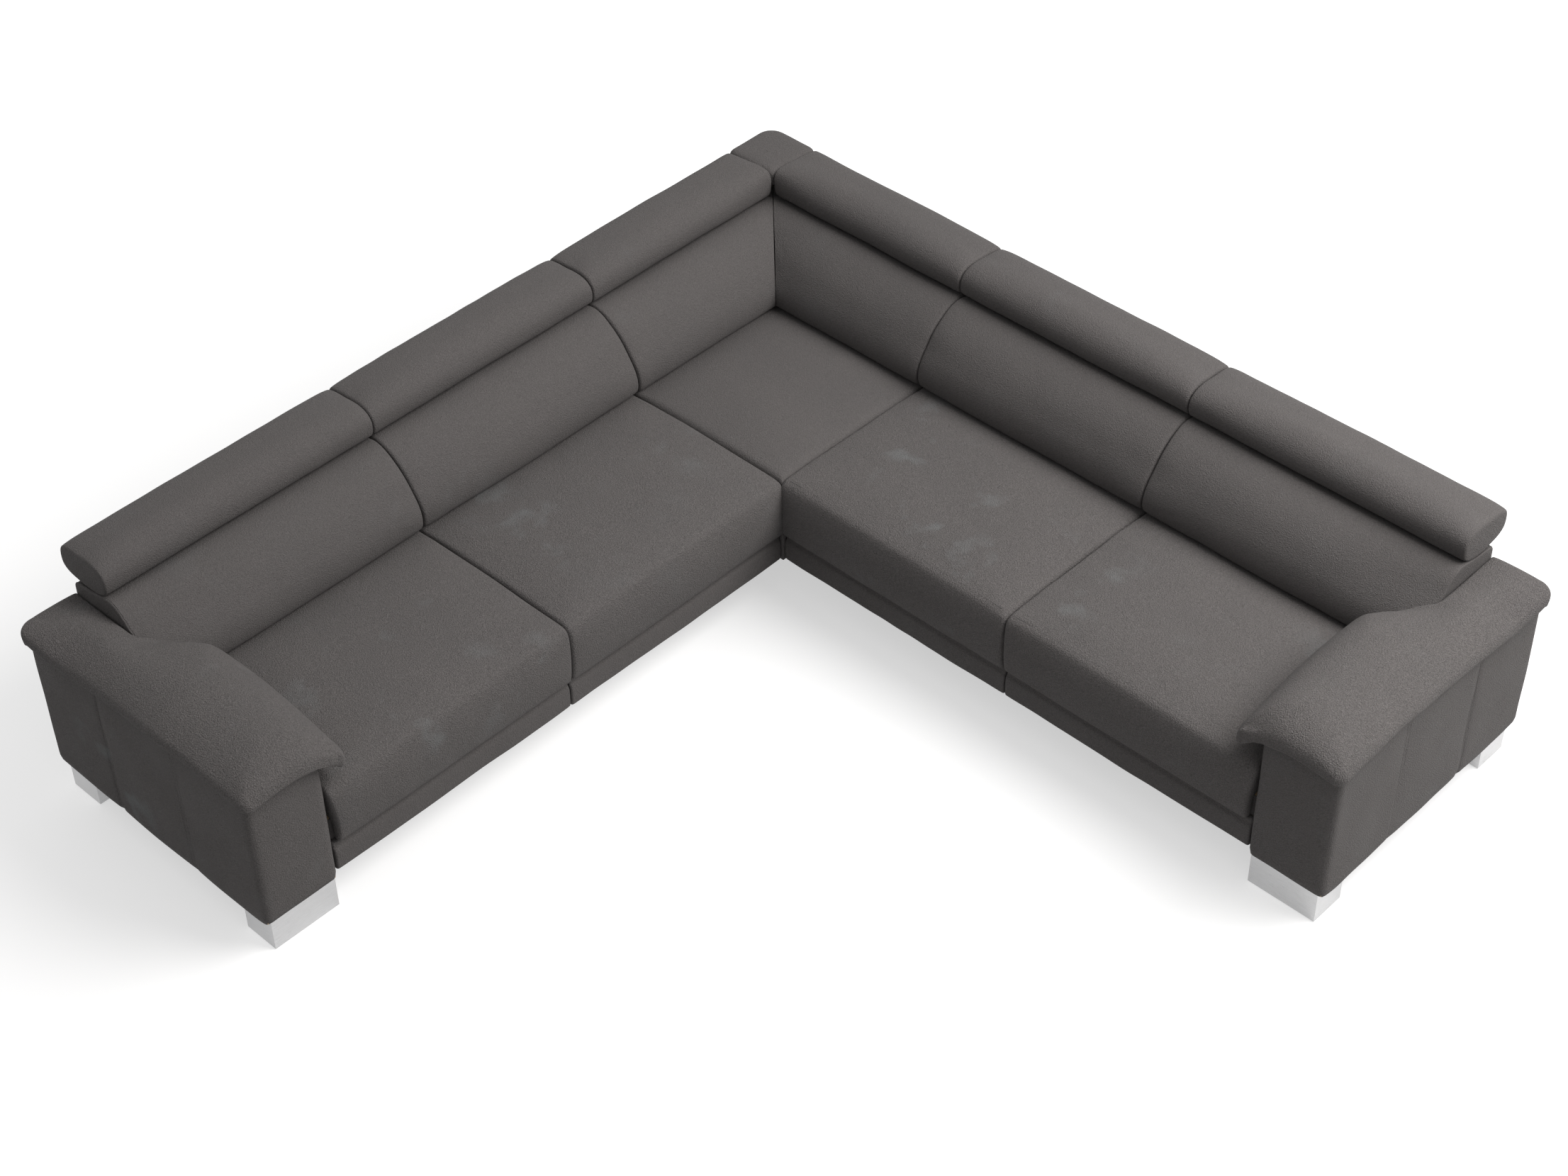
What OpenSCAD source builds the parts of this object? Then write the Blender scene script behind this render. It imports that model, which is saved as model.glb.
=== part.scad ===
// Corner sofa with two equal wings, six folding headrests and block legs.
// A wing's own directions: X runs along the wing from the outer back corner, -Y is depth, Z is up.

/* [Plan] */
// Width of one seat on a wing
seat_w = 820; // [700:10:900]
// Depth from the back reference plane to the front edge of the seats
seat_reach = 925; // [880:5:980]
// Width of an arm's upholstered body
arm_w = 234; // [200:2:260]
// How far the back runs on behind the arm, past the last seat
back_over = 72; // [50:2:90]
// How far the arm pad stands out over the arm's outer side
pad_out = 38; // [20:1:45]
// How far the arm pad droops in over the seat
pad_in = 58; // [40:1:70]
// How far the arm pad stands out over the arm's front
pad_nose = 37; // [20:1:45]
// Joint gap between two soft pieces that lie side by side
soft_gap = 0.5; // [0.4:0.1:1]

/* [Heights] */
// Height of a block leg
leg_h = 118; // [100:2:140]
// Height of the base frame's underside above the floor
base_clear = 142; // [130:2:170]
// Height of the base frame's rails
base_h = 158; // [140:2:190]
// Thickness of a seat at its edge, above the springs
seat_foam = 124; // [100:2:140]
// Height of a seat's crown over its edge
seat_crown = 20; // [10:1:26]
// Height of the back frame above the base frame
back_h = 328; // [300:4:380]
// Height of an arm's frame
arm_h = 430; // [410:2:460]
// Height of the arm pad's crown over the arm's frame
pad_t = 95; // [80:1:110]

/* [Back] */
// Thickness of the padded cover on the back's outer face
rear_cover_t = 12; // [8:1:16]
// Outer face of the rear cover, from the back reference plane
rear_face = 33; // [30:1:40]
// Depth of the back frame's timber
back_frame_t = 45; // [35:1:55]
// Thickness of the back webbing
webbing_t = 2; // [1:0.5:3]
// Thickness of a back cushion at its foot
back_foot_t = 262; // [220:2:280]
// Forward swell of a back cushion in the middle
back_swell = 10; // [5:1:14]
// Thickness of the padded cover on the back's end
end_cover_t = 5; // [3:0.5:8]
// Height of a back webbing strap
strap_h = 50; // [40:5:60]

/* [Headrests] */
// Depth of a headrest
head_depth = 196; // [180:2:206]
// Thickness of a headrest at its ends
head_t = 106; // [96:1:116]
// Height of a headrest's crown
head_crown = 18; // [10:1:24]
// How far a headrest stands out behind the back reference plane
head_rear = 10; // [4:1:14]
// Height of the hinge axis over the back frame
hinge_rise = 12; // [11:0.5:14]
// Depth of the hinge axis from the back reference plane
hinge_d = 28; // [24:1:32]
// Height of a headrest's underside over its hinge axis
head_lift = 9; // [8.5:0.5:11]
// Distance of a hinge from its headrest's end
hinge_inset = 120; // [90:5:160]
// Radius of the hinge pin
pin_r = 4; // [3:0.5:5]
// Radius of the eyes round the hinge pin
eye_r = 8.5; // [7:0.5:9]
// Thickness of the hinge plates
hinge_plate_t = 3; // [2:0.5:4]
// Thickness of the headrest's inner plate
core_t = 4; // [3:0.5:6]

/* [Legs and feet] */
// Width of a block leg along the wing
leg_w = 209; // [180:1:215]
// Depth of a block leg
leg_d = 113; // [90:1:130]
// Wall of a block leg
leg_wall = 2; // [1.5:0.5:3]
// Thickness of a block leg's top plate
leg_top_t = 3; // [2:0.5:5]
// Gap between the floor and a leg's metal, filled by its glide
glide_show = 2; // [1:0.5:4]
// Radius of a support foot
foot_r = 25; // [20:1:32]
// Radius of a support foot's stem
stem_r = 5; // [4:0.5:6]
// Length of a support foot's stem
stem_h = 40; // [25:5:60]

/* [Frame] */
// Thickness of the base frame's rails
rail_t = 25; // [20:1:30]
// Thickness of the arm's boards
board_t = 18; // [15:1:22]
// Height of the back frame's top rail
top_rail_h = 43; // [35:1:55]
// Thickness of the arm's cover
arm_cover_t = 7; // [5:0.5:9]
// Height of the fabric band under the seats
band_h = 75; // [60:1:85]
// How far the fabric band hangs under the base frame
band_drop = 10; // [5:1:15]
// Thickness of the fabric band
band_t = 22; // [16:1:26]
// Height of the groove between the fabric band and the seat
groove_h = 20; // [14:1:26]
// Thickness of the cloth under the base frame
dust_t = 1; // [0.6:0.1:2]

/* [Springs and bolts] */
// Number of springs under one seat
spring_count = 4; // [3:1:6]
// Wire thickness of a seat spring
wire_t = 4; // [3:0.5:5]
// Width of a seat spring over its bends
spring_w = 52; // [40:2:64]
// Length of a spring clip along the wire
clip_len = 14; // [10:1:18]
// Thickness of a spring clip's steel
clip_t = 2; // [1.5:0.5:3]
// Radius of the frame bolts
bolt_r = 4; // [3:0.5:5]
// Radius of the leg screws
leg_screw_r = 3; // [2.5:0.5:4]
// Radius of the hinge screws
hinge_screw_r = 2; // [1.5:0.5:2.5]

/* [Hidden] */

// Colours of the finishes
fabric_c = [0.30, 0.285, 0.275];
timber_c = [0.76, 0.62, 0.43];
steel_c = [0.55, 0.56, 0.58];
chrome_c = [0.82, 0.83, 0.85];
black_c = [0.08, 0.08, 0.08];
web_c = [0.80, 0.78, 0.72];

// Clearances between hard pieces, between a soft piece and what carries it, and round a screw
hard_gap = 0.2;
seat_gap = 0.3;
screw_gap = 0.1;
pin_gap = 0.05;
joint_eps = 0.01;

// Places along a wing, from the back reference planes
wing_start = seat_reach - 2;
wing_mid = wing_start + seat_w;
wing_end = wing_mid + seat_w;
arm_gap = 3;
arm_in = wing_end + arm_gap;
arm_out = arm_in + arm_w;
back_end = wing_end + back_over;
pad_end = arm_out + pad_out;
side_len = pad_end + head_rear;
corner_x = head_rear - side_len / 2;
corner_y = -corner_x;

// Depths
frame_rear = rear_face + rear_cover_t;
frame_front = frame_rear + back_frame_t;
back_rear = frame_front + webbing_t + soft_gap;
back_foot = back_rear + back_foot_t;
front_rail_d = seat_reach - 30;
rear_rail_d = 200;
front_pull = 8;
front_swell = 17;

// Heights
base_top = base_clear + base_h;
clip_top = base_top + wire_t + clip_t;
seat_under = clip_top + seat_gap;
seat_edge = seat_under + seat_foam;
seat_rear_z = seat_edge - 6;
back_under = seat_rear_z + soft_gap;
back_top = base_top + back_h;
arm_top = leg_h + arm_h;
arm_notch_z = seat_rear_z - 4;
hinge_z = back_top + hinge_rise;
head_under = hinge_z + head_lift;
back_brow = head_under + head_t * 0.18;
band_low = base_clear - band_drop;
band_high = band_low + band_h;
seat_lip_z = band_high + groove_h;

// The corner block's side, and where the headrests begin beside it
block_side = head_depth - head_rear + 2;
head_start = block_side + 2.5;
head_gap = 0.6;
notch_gap = 2;

// Stations of the soft forms, from one end to the middle
end_round = 30;
function fast(e) = sin(90 * min(1, e / end_round));
function slow(t) = pow(max(0, sin(180 * t)), 0.6);
function mix(a, b, t) = a + (b - a) * t;
function smooth(t) = let (c = min(1, max(0, t))) c * c * (3 - 2 * c);
seat_stations = [0, 10, 30, 90, 220];
back_stations = [0, 8, 30, 160];
head_stations = [0, 6, 30, 150];
// Distances from the low end of a piece of that width, out to the middle and back
function spread(steps, width) = concat(steps, [width / 2],
    [for (i = [len(steps) - 1 : -1 : 0]) width - steps[i]]);

// A closed body through a row of rings, each ring a front chain and then the other chain reversed
module loft(rings) {
    n = len(rings[0]);
    m = len(rings);
    skin = [for (i = [0 : m - 2]) for (j = [0 : n - 1])
        let (a = i * n + j, b = i * n + (j + 1) % n) each [[a, b, b + n], [a, b + n, a + n]]];
    low_cap = [for (j = [0 : n / 2 - 2]) each [[j, n - 1 - j, n - 2 - j], [j, n - 2 - j, j + 1]]];
    high_cap = [for (f = low_cap) [for (k = [2 : -1 : 0]) f[k] + (m - 1) * n]];
    polyhedron(points = [for (r = rings) each r], faces = concat(skin, low_cap, high_cap), convexity = 10);
}

function reversed(list) = [for (i = [len(list) - 1 : -1 : 0]) list[i]];

// One ring of a cushion. A chain point holds depth, height, edge swell in depth and height, and crown share.
function cushion_ring(chain, a, quick, crown, bulge, mitre = 0, t = 1) =
    [for (p = chain)
        let (d = p[0] + p[2] * quick + bulge * p[5], z = p[1] + p[3] * quick + crown * p[4])
        [mitre > 0 ? mix(d + mitre, a, t) : a, -d, z]];

module cushion(chain_top, chain_low, a0, a1, steps, crown, bulge) {
    chain = concat(chain_top, reversed(chain_low));
    width = a1 - a0;
    loft([for (e = spread(steps, width))
        let (middle = slow(e / width))
        cushion_ring(chain, a0 + e, fast(min(e, width - e)), crown * middle, bulge * middle)]);
}

// Puts a wing's own shape in its place
module on_back_wing() { translate([corner_x, corner_y, 0]) children(); }
module on_side_wing() { translate([corner_x, corner_y, 0]) mirror([1, 1, 0]) children(); }

// A board from its low to its high place along the wing, in depth and in height
module board(a0, a1, d0, d1, z0, z1) {
    translate([a0, -d1, z0]) cube([a1 - a0, d1 - d0, z1 - z0]);
}
// A round bar along the wing, or upright
module bar_along(a0, a1, d, z, r) {
    translate([a0, -d, z]) rotate([0, 90, 0]) cylinder(h = a1 - a0, r = r, $fn = 32);
}
module bar_up(a, d, z0, z1, r) { translate([a, -d, z0]) cylinder(h = z1 - z0, r = r, $fn = 32); }

// Places of the frame bolts in depth, and their height
bolt_ds = [300, 700];
bolt_z = base_clear + base_h / 2;
bolt_head_r = 7;
bolt_head_h = 5;
arm_bolt_z = leg_h + 90;

// Places of the support feet along a wing and in depth
foot_ds = [130, seat_reach - 225];
corner_foot = 782;
corner_rear_foot_d = frame_rear + rail_t / 2;
corner_rear_foot_a = corner_rear_foot_d + 60;

// Base frames
module bolt_bores_module() {
    for (d = bolt_ds)
        bar_along(wing_start - 2 * rail_t, wing_start + 2 * rail_t, d, bolt_z, bolt_r + screw_gap);
}
module bolt_bores_arm() {
    for (d = bolt_ds)
        bar_along(wing_end - 2 * rail_t, arm_in + arm_cover_t + board_t + 1, d, arm_bolt_z,
            bolt_r + screw_gap);
}
module wing_foot_stems(extra) {
    for (d = foot_ds) bar_up(wing_mid, d, base_clear, base_clear + stem_h + extra, stem_r + extra);
}
module wing_base_frame() {
    rail_in = wing_start + hard_gap;
    rail_out = wing_end - hard_gap;
    difference() {
        union() {
            board(rail_in, rail_out, front_rail_d - rail_t, front_rail_d, base_clear, base_top);
            board(rail_in, rail_out, rear_rail_d, rear_rail_d + rail_t, base_clear, base_top);
            board(rail_in, rail_out, frame_rear, frame_rear + rail_t, base_clear, base_top);
            for (a = [rail_in, wing_mid - rail_t / 2, rail_out - rail_t])
                board(a, a + rail_t, frame_rear, front_rail_d, base_clear, base_top);
        }
        bolt_bores_module();
        bolt_bores_arm();
        wing_foot_stems(screw_gap);
    }
}
module back_wing_base_frame() { color(timber_c) on_back_wing() wing_base_frame(); }
module side_wing_base_frame() { color(timber_c) on_side_wing() wing_base_frame(); }

corner_edge = wing_start - hard_gap;
module corner_foot_bore() {
    bar_up(corner_foot, corner_foot, base_clear, base_clear + stem_h + screw_gap, stem_r + screw_gap);
}
module corner_base_frame() {
    block = 40;
    color(timber_c) on_back_wing() difference() {
        union() {
            for (lo = [frame_rear, corner_edge - rail_t]) {
                board(frame_rear, corner_edge, lo, lo + rail_t, base_clear, base_top);
                board(lo, lo + rail_t, frame_rear, corner_edge, base_clear, base_top);
            }
            board(rear_rail_d, corner_edge, rear_rail_d, rear_rail_d + rail_t, base_clear, base_top);
            board(rear_rail_d, rear_rail_d + rail_t, rear_rail_d, corner_edge, base_clear, base_top);
            board(corner_foot - block, corner_edge, corner_foot - block, corner_foot + block,
                base_clear, base_clear + stem_h + block);
        }
        bolt_bores_module();
        mirror([1, 1, 0]) bolt_bores_module();
        corner_foot_bore();
        bar_up(corner_rear_foot_a, corner_rear_foot_d, base_clear, base_clear + stem_h + screw_gap,
            stem_r + screw_gap);
    }
}

// Back frames
function hinge_span(i) = i == 0 ? [head_start, wing_start - head_gap]
    : i == 1 ? [wing_start + head_gap, wing_mid - head_gap] : [wing_mid + head_gap, back_end - head_gap];
hinge_places = [for (i = [0 : 2]) each [hinge_span(i)[0] + hinge_inset, hinge_span(i)[1] - hinge_inset]];
hinge_screw_h = 18;
hinge_screw_in = 19;
hinge_screw_ds = [frame_rear + 12, frame_rear + 32];
function hinge_screws_at(h) = [for (d = hinge_screw_ds) [h - hinge_screw_in, d]];
module hinge_screw_bores(places) {
    for (h = places) for (p = hinge_screws_at(h))
        bar_up(p[0], p[1], back_top - hinge_screw_h - screw_gap, back_top + hinge_plate_t + 1,
            hinge_screw_r + screw_gap);
}
module wing_back_frame() {
    post_w = rail_t;
    difference() {
        union() {
            board(wing_start + hard_gap, back_end - end_cover_t - seat_gap, frame_rear, frame_front,
                back_top - top_rail_h, back_top);
            for (a = [wing_start + hard_gap, wing_mid - post_w / 2, wing_end - hard_gap - post_w])
                board(a, a + post_w, frame_rear, frame_front, base_top, back_top - top_rail_h);
        }
        hinge_screw_bores([for (i = [2 : 5]) hinge_places[i]]);
    }
}
module back_wing_back_frame() { color(timber_c) on_back_wing() wing_back_frame(); }
module side_wing_back_frame() { color(timber_c) on_side_wing() wing_back_frame(); }
module corner_back_frame_half() {
    difference() {
        union() {
            board(frame_rear, corner_edge, frame_rear, frame_front, back_top - top_rail_h, back_top);
            board(corner_edge - rail_t, corner_edge, frame_rear, frame_front, base_top, back_top);
            board(frame_rear, frame_front, frame_rear, frame_front, base_top, back_top);
        }
        hinge_screw_bores([for (i = [0 : 1]) hinge_places[i]]);
    }
}
module corner_back_frame() {
    color(timber_c) on_back_wing() {
        corner_back_frame_half();
        mirror([1, 1, 0]) corner_back_frame_half();
    }
}

// The space behind an arm that the back reaches into
notch_d = back_foot + back_swell + notch_gap;
module arm_notch(extra) {
    board(arm_in - 1, back_end + notch_gap + extra, -1, notch_d + extra, arm_notch_z - extra, arm_top + 1);
}

// Arm frames
frame_in = arm_in + arm_cover_t + hard_gap;
frame_out = arm_out - arm_cover_t - hard_gap;
frame_near = seat_reach - arm_cover_t - hard_gap;
frame_far = rear_face + arm_cover_t + hard_gap;
leg_a0 = arm_in + 2;
leg_a1 = leg_a0 + leg_w;
front_leg_d1 = frame_near - 13;
front_leg_d0 = front_leg_d1 - leg_d;
rear_leg_d0 = frame_far + 6;
rear_leg_d1 = rear_leg_d0 + leg_d;
leg_screw_len = 26;
leg_screw_inset = 28;
leg_screw_places = [for (d = [front_leg_d0, rear_leg_d0]) for (i = [0, 1]) for (j = [0, 1])
    [mix(frame_in + board_t / 2 + leg_screw_inset, leg_a1 - leg_screw_inset, i),
     mix(d + leg_screw_inset, d + leg_d - leg_screw_inset, j)]];
bottom_board_t = 22;
module wing_arm_frame() {
    difference() {
        union() {
            for (a = [frame_in, frame_out - board_t])
                board(a, a + board_t, frame_far, frame_near, leg_h, arm_top);
            for (d = [frame_far, frame_near - board_t])
                board(frame_in, frame_out, d, d + board_t, leg_h, arm_top);
            board(frame_in, frame_out, frame_far, frame_near, arm_top - board_t, arm_top);
            for (d = [rear_leg_d0, front_leg_d0])
                board(frame_in, frame_out, d, d + leg_d, leg_h, leg_h + bottom_board_t);
        }
        arm_notch(0);
        bolt_bores_arm();
        for (p = leg_screw_places)
            bar_up(p[0], p[1], leg_h - 1, leg_h + leg_screw_len, leg_screw_r + screw_gap);
    }
}
module back_wing_arm_frame() { color(timber_c) on_back_wing() wing_arm_frame(); }
module side_wing_arm_frame() { color(timber_c) on_side_wing() wing_arm_frame(); }

// Seat springs, bent flat wire from rail to rail
spring_waves = 8;
function spring_line(len, side) = [for (i = [0 : spring_waves * 4])
    let (s = i / (spring_waves * 4), bend = sin(s * spring_waves * 360))
    [(spring_w - wire_t) / 2 * sign(bend) * pow(abs(bend), 0.5) + side * wire_t / 2, -len * s]];
module spring(len) {
    linear_extrude(height = wire_t) polygon(concat(
        [[-wire_t / 2, 12]], spring_line(len, -1), [[-wire_t / 2, -len - 12], [wire_t / 2, -len - 12]],
        reversed(spring_line(len, 1)), [[wire_t / 2, 12]]));
}
spring_from = rear_rail_d + rail_t;
spring_len = front_rail_d - rail_t - spring_from;
function spring_places(a0, a1) = [for (i = [0 : spring_count - 1]) mix(a0, a1, (i + 0.5) / spring_count)];
wing_spring_places = concat(spring_places(wing_start + rail_t, wing_mid - rail_t / 2),
    spring_places(wing_mid + rail_t / 2, wing_end - rail_t));
corner_spring_places = spring_places(rear_rail_d + rail_t, corner_edge - rail_t);
corner_spring_len = corner_edge - rail_t - spring_from;
module springs_along(places, len) { for (a = places) translate([a, -spring_from, base_top]) spring(len); }
module seat_springs() {
    color(steel_c) {
        on_back_wing() {
            springs_along(wing_spring_places, spring_len);
            springs_along(corner_spring_places, corner_spring_len);
        }
        on_side_wing() springs_along(wing_spring_places, spring_len);
    }
}

// A bridge clip over a spring's end, its feet on the rail
clip_w = 18;
module clip(a, d) {
    difference() {
        board(a - clip_w / 2, a + clip_w / 2, d - clip_len / 2, d + clip_len / 2, base_top, clip_top);
        board(a - wire_t / 2 - hard_gap, a + wire_t / 2 + hard_gap, d - clip_len, d + clip_len,
            base_top - 1, base_top + wire_t);
    }
}
module clips_along(places, len) {
    for (a = places) {
        clip(a, spring_from - clip_len / 2 - 2);
        clip(a, spring_from + len + clip_len / 2 + 2);
    }
}
module spring_clips() {
    color(steel_c) {
        on_back_wing() {
            clips_along(wing_spring_places, spring_len);
            clips_along(corner_spring_places, corner_spring_len);
        }
        on_side_wing() clips_along(wing_spring_places, spring_len);
    }
}

// Back webbing, two straps across each module's back frame
module straps(a0, a1) {
    for (share = [0.42, 0.72])
        let (z = mix(base_top, back_top, share))
            board(a0, a1, frame_front, frame_front + webbing_t, z - strap_h / 2, z + strap_h / 2);
}
module back_webbing() {
    color(web_c) {
        on_back_wing() {
            straps(wing_start + hard_gap, wing_end - hard_gap);
            straps(frame_front + webbing_t + hard_gap, corner_edge);
        }
        on_side_wing() {
            straps(wing_start + hard_gap, wing_end - hard_gap);
            straps(frame_front + webbing_t + hard_gap, corner_edge);
        }
    }
}

// Seat cushions
seat_rear = rear_rail_d + 36;
lip_rear = front_rail_d + 0.4;
edge_dip = 8;
seat_top_chain = [
    [seat_rear + 4, seat_rear_z - 18, 0, 0, 0, 0],
    [seat_rear + 16, seat_rear_z, 0, 0, 0, 0],
    [back_foot - 12, seat_rear_z, 0, 0, 0, 0],
    [back_foot + 28, seat_edge - edge_dip, 0, edge_dip - 2, 0.45, 0],
    [mix(back_foot, seat_reach, 0.28), seat_edge - edge_dip, 0, edge_dip, 1, 0],
    [mix(back_foot, seat_reach, 0.54), seat_edge - edge_dip, 0, edge_dip, 1, 0],
    [mix(back_foot, seat_reach, 0.78), seat_edge - edge_dip, 0, edge_dip, 0.85, 0],
    [mix(back_foot, seat_reach, 0.93), seat_edge - edge_dip, 0, edge_dip, 0.45, 0],
    [seat_reach - front_pull, seat_edge - edge_dip - 4, front_pull, edge_dip + 2, 0.05, 0],
    [seat_reach - front_pull, seat_edge - 50, front_pull + front_swell - 2, 4, 0, 0],
    [seat_reach - front_pull, seat_edge - 110, front_pull + front_swell, 2, 0, 0],
    [seat_reach - front_pull, seat_lip_z + 3, front_pull + 5, -2, 0, 0]];
seat_low_chain = [
    [seat_rear + 4, seat_under + 20, 0, 0, 0, 0],
    [seat_rear + 16, seat_under, 0, 0, 0, 0],
    [back_foot - 12, seat_under, 0, 0, 0, 0],
    [back_foot + 28, seat_under, 0, 0, 0, 0],
    [mix(back_foot, seat_reach, 0.28), seat_under, 0, 0, 0, 0],
    [mix(back_foot, seat_reach, 0.54), seat_under, 0, 0, 0, 0],
    [mix(back_foot, seat_reach, 0.78), seat_under, 0, 0, 0, 0],
    [front_rail_d - 10, seat_under, 0, 0, 0, 0],
    [lip_rear, seat_under, 0, 0, 0, 0],
    [lip_rear, mix(seat_lip_z, seat_under, 0.7), 0, 0, 0, 0],
    [lip_rear, mix(seat_lip_z, seat_under, 0.35), 0, 0, 0, 0],
    [lip_rear, seat_lip_z + 3, 0, -2, 0, 0]];
module seat_cushion(a0, a1) {
    cushion(seat_top_chain, seat_low_chain, a0 + soft_gap, a1 - soft_gap, seat_stations, seat_crown, 0);
}
module back_wing_inner_seat_cushion() { color(fabric_c) on_back_wing() seat_cushion(wing_start, wing_mid); }
module back_wing_outer_seat_cushion() { color(fabric_c) on_back_wing() seat_cushion(wing_mid, wing_end); }
module side_wing_inner_seat_cushion() { color(fabric_c) on_side_wing() seat_cushion(wing_start, wing_mid); }
module side_wing_outer_seat_cushion() { color(fabric_c) on_side_wing() seat_cushion(wing_mid, wing_end); }

// Corner seat, a square crowned cushion that the four neighbours hem in
corner_seat_to = wing_start - soft_gap;
function corner_crown(a, d) = let (s = back_foot, e = corner_seat_to,
    u = min(1, max(0, (a - s) / (e - s))), v = min(1, max(0, (d - s) / (e - s)))) slow(u) * slow(v);
corner_ds = [seat_rear + 4, seat_rear + 16, back_foot - 12, back_foot + 28,
    for (share = [0.3, 0.55, 0.8]) mix(back_foot, corner_seat_to, share),
    corner_seat_to - 26, corner_seat_to - 4, corner_seat_to];
// How far the top drops under its edge height near each edge
function corner_edge_drop(x) = x < seat_rear + 10 ? 18 : x < back_foot ? 6 : x > corner_seat_to - 2 ? 30
    : x > corner_seat_to - 10 ? 12 : x > corner_seat_to - 30 ? 3 : 2;
function corner_seat_top(a, d) = seat_edge + seat_crown * corner_crown(a, d)
    - max(corner_edge_drop(a), corner_edge_drop(d));
module corner_seat_cushion() {
    color(fabric_c) on_back_wing() loft([for (a = corner_ds) concat(
        [for (d = corner_ds) [a, -d, corner_seat_top(a, d)]],
        [for (d = reversed(corner_ds)) [a, -d, seat_under]])]);
}

// Back cushions
function back_z(share) = mix(back_under, back_brow, share);
back_front_chain = [
    [back_foot - 32, back_under, 0, 0, 0, 0],
    [back_foot - 5, back_under + 15, 0, 0, 0, 0.5],
    [back_foot, back_z(0.25), 0, 0, 0, 1],
    [mix(back_foot, back_rear, 0.04), back_z(0.40), 0, 0, 0, 1],
    [mix(back_foot, back_rear, 0.13), back_z(0.56), 0, 0, 0, 1],
    [mix(back_foot, back_rear, 0.245), back_z(0.72), 0, 0, 0, 0.9],
    [mix(back_foot, back_rear, 0.386), back_z(0.85), 0, 0, 0, 0.7],
    [mix(back_foot, back_rear, 0.527), back_z(0.955), 0, 0, 0, 0.4],
    [mix(back_foot, back_rear, 0.67), back_z(1), 0, 0, 0, 0.1]];
back_rear_chain = [
    [back_rear + 4, back_under, 0, 0, 0, 0],
    [back_rear, back_under + 12, 0, 0, 0, 0],
    for (share = [0.25, 0.40, 0.55, 0.70]) [back_rear, back_z(share), 0, 0, 0, 0],
    [back_rear, back_top, 0, 0, 0, 0],
    [back_rear + 8, hinge_z, 0, 0, 0, 0],
    [back_rear + 44, head_under - 1, 0, 0, 0, 0]];
// How far the front face draws back at the cushion's ends
end_pull = 10;
function back_ring_front(chain, quick) = [for (p = chain) [p[0] - end_pull * (1 - quick) * min(1, 2 * p[5]),
    p[1], p[2], p[3], p[4], p[5]]];
module back_cushion(a0, a1, mitred) {
    from = a0 + soft_gap;
    to = a1 - soft_gap;
    width = to - from;
    loft([for (e = spread(back_stations, width))
        let (quick = fast(min(e, width - e)), chain = concat(back_ring_front(back_front_chain, quick),
            reversed(back_rear_chain)))
        cushion_ring(chain, mitred ? to : from + e, quick, 0, back_swell * slow(e / width),
            mitred ? soft_gap : 0, mitred ? e / width : 1)]);
}
// Padded cover on the end of the back, over the frame's end
module back_end_cover() {
    translate([back_end - end_cover_t, 0, 0]) rotate([90, 0, 90]) linear_extrude(height = end_cover_t)
        polygon([[-frame_rear, arm_notch_z + 10], [-frame_rear, hinge_z - 4], [-back_rear - 20, hinge_z],
            [-back_rear - 20, arm_notch_z + 10]]);
}
module outer_back_cushion() {
    back_cushion(wing_mid, back_end, false);
    difference() {
        back_end_cover();
        board(wing_end, back_end + 1, back_rear - 0.2, back_foot, 0, hinge_z + 20);
    }
}
module back_wing_corner_back_cushion() {
    color(fabric_c) on_back_wing() back_cushion(back_rear, wing_start, true);
}
module back_wing_inner_back_cushion() {
    color(fabric_c) on_back_wing() back_cushion(wing_start, wing_mid, false);
}
module back_wing_outer_back_cushion() { color(fabric_c) on_back_wing() outer_back_cushion(); }
module side_wing_corner_back_cushion() {
    color(fabric_c) on_side_wing() back_cushion(back_rear, wing_start, true);
}
module side_wing_inner_back_cushion() {
    color(fabric_c) on_side_wing() back_cushion(wing_start, wing_mid, false);
}
module side_wing_outer_back_cushion() { color(fabric_c) on_side_wing() outer_back_cushion(); }

// Corner block on top of the corner post, a rounded square in each of its rings
block_foot = back_top + seat_gap;
block_top = head_under + head_t * 0.91;
function rounded_square(lo, hi, outer_r, z) =
    let (r = min(outer_r, (hi - lo) / 2), s = min(14, (hi - lo) / 4)) concat(
    [for (k = [4 : -1 : 0]) [lo + r - r * sin(90 - k * 22.5), -(lo + r - r * cos(90 - k * 22.5)), z]],
    [[lo, -mix(lo, hi, 0.7), z], [lo, -hi + s, z], [lo + s, -hi, z], [hi - s, -hi, z], [hi, -hi + s, z]],
    [for (share = [0.7, 0.55, 0.42, 0.3]) [hi, -mix(lo, hi, share), z]],
    [[hi, -lo - s, z], [hi - s, -lo, z]]);
block_rings = [[1, back_rear - 6, 0], [-2, back_rear - 4, 0.10], [-2, back_rear - 2, 0.26], [-2, 150, 0.39],
    [-2, block_side, 0.54], [-2, block_side, 0.86], [6, block_side - 8, 0.97], [22, block_side - 26, 1]];
module corner_block() {
    color(fabric_c) on_back_wing() loft([for (r = block_rings)
        rounded_square(r[0], r[1], 46, mix(block_foot, block_top, r[2]))]);
}

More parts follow.
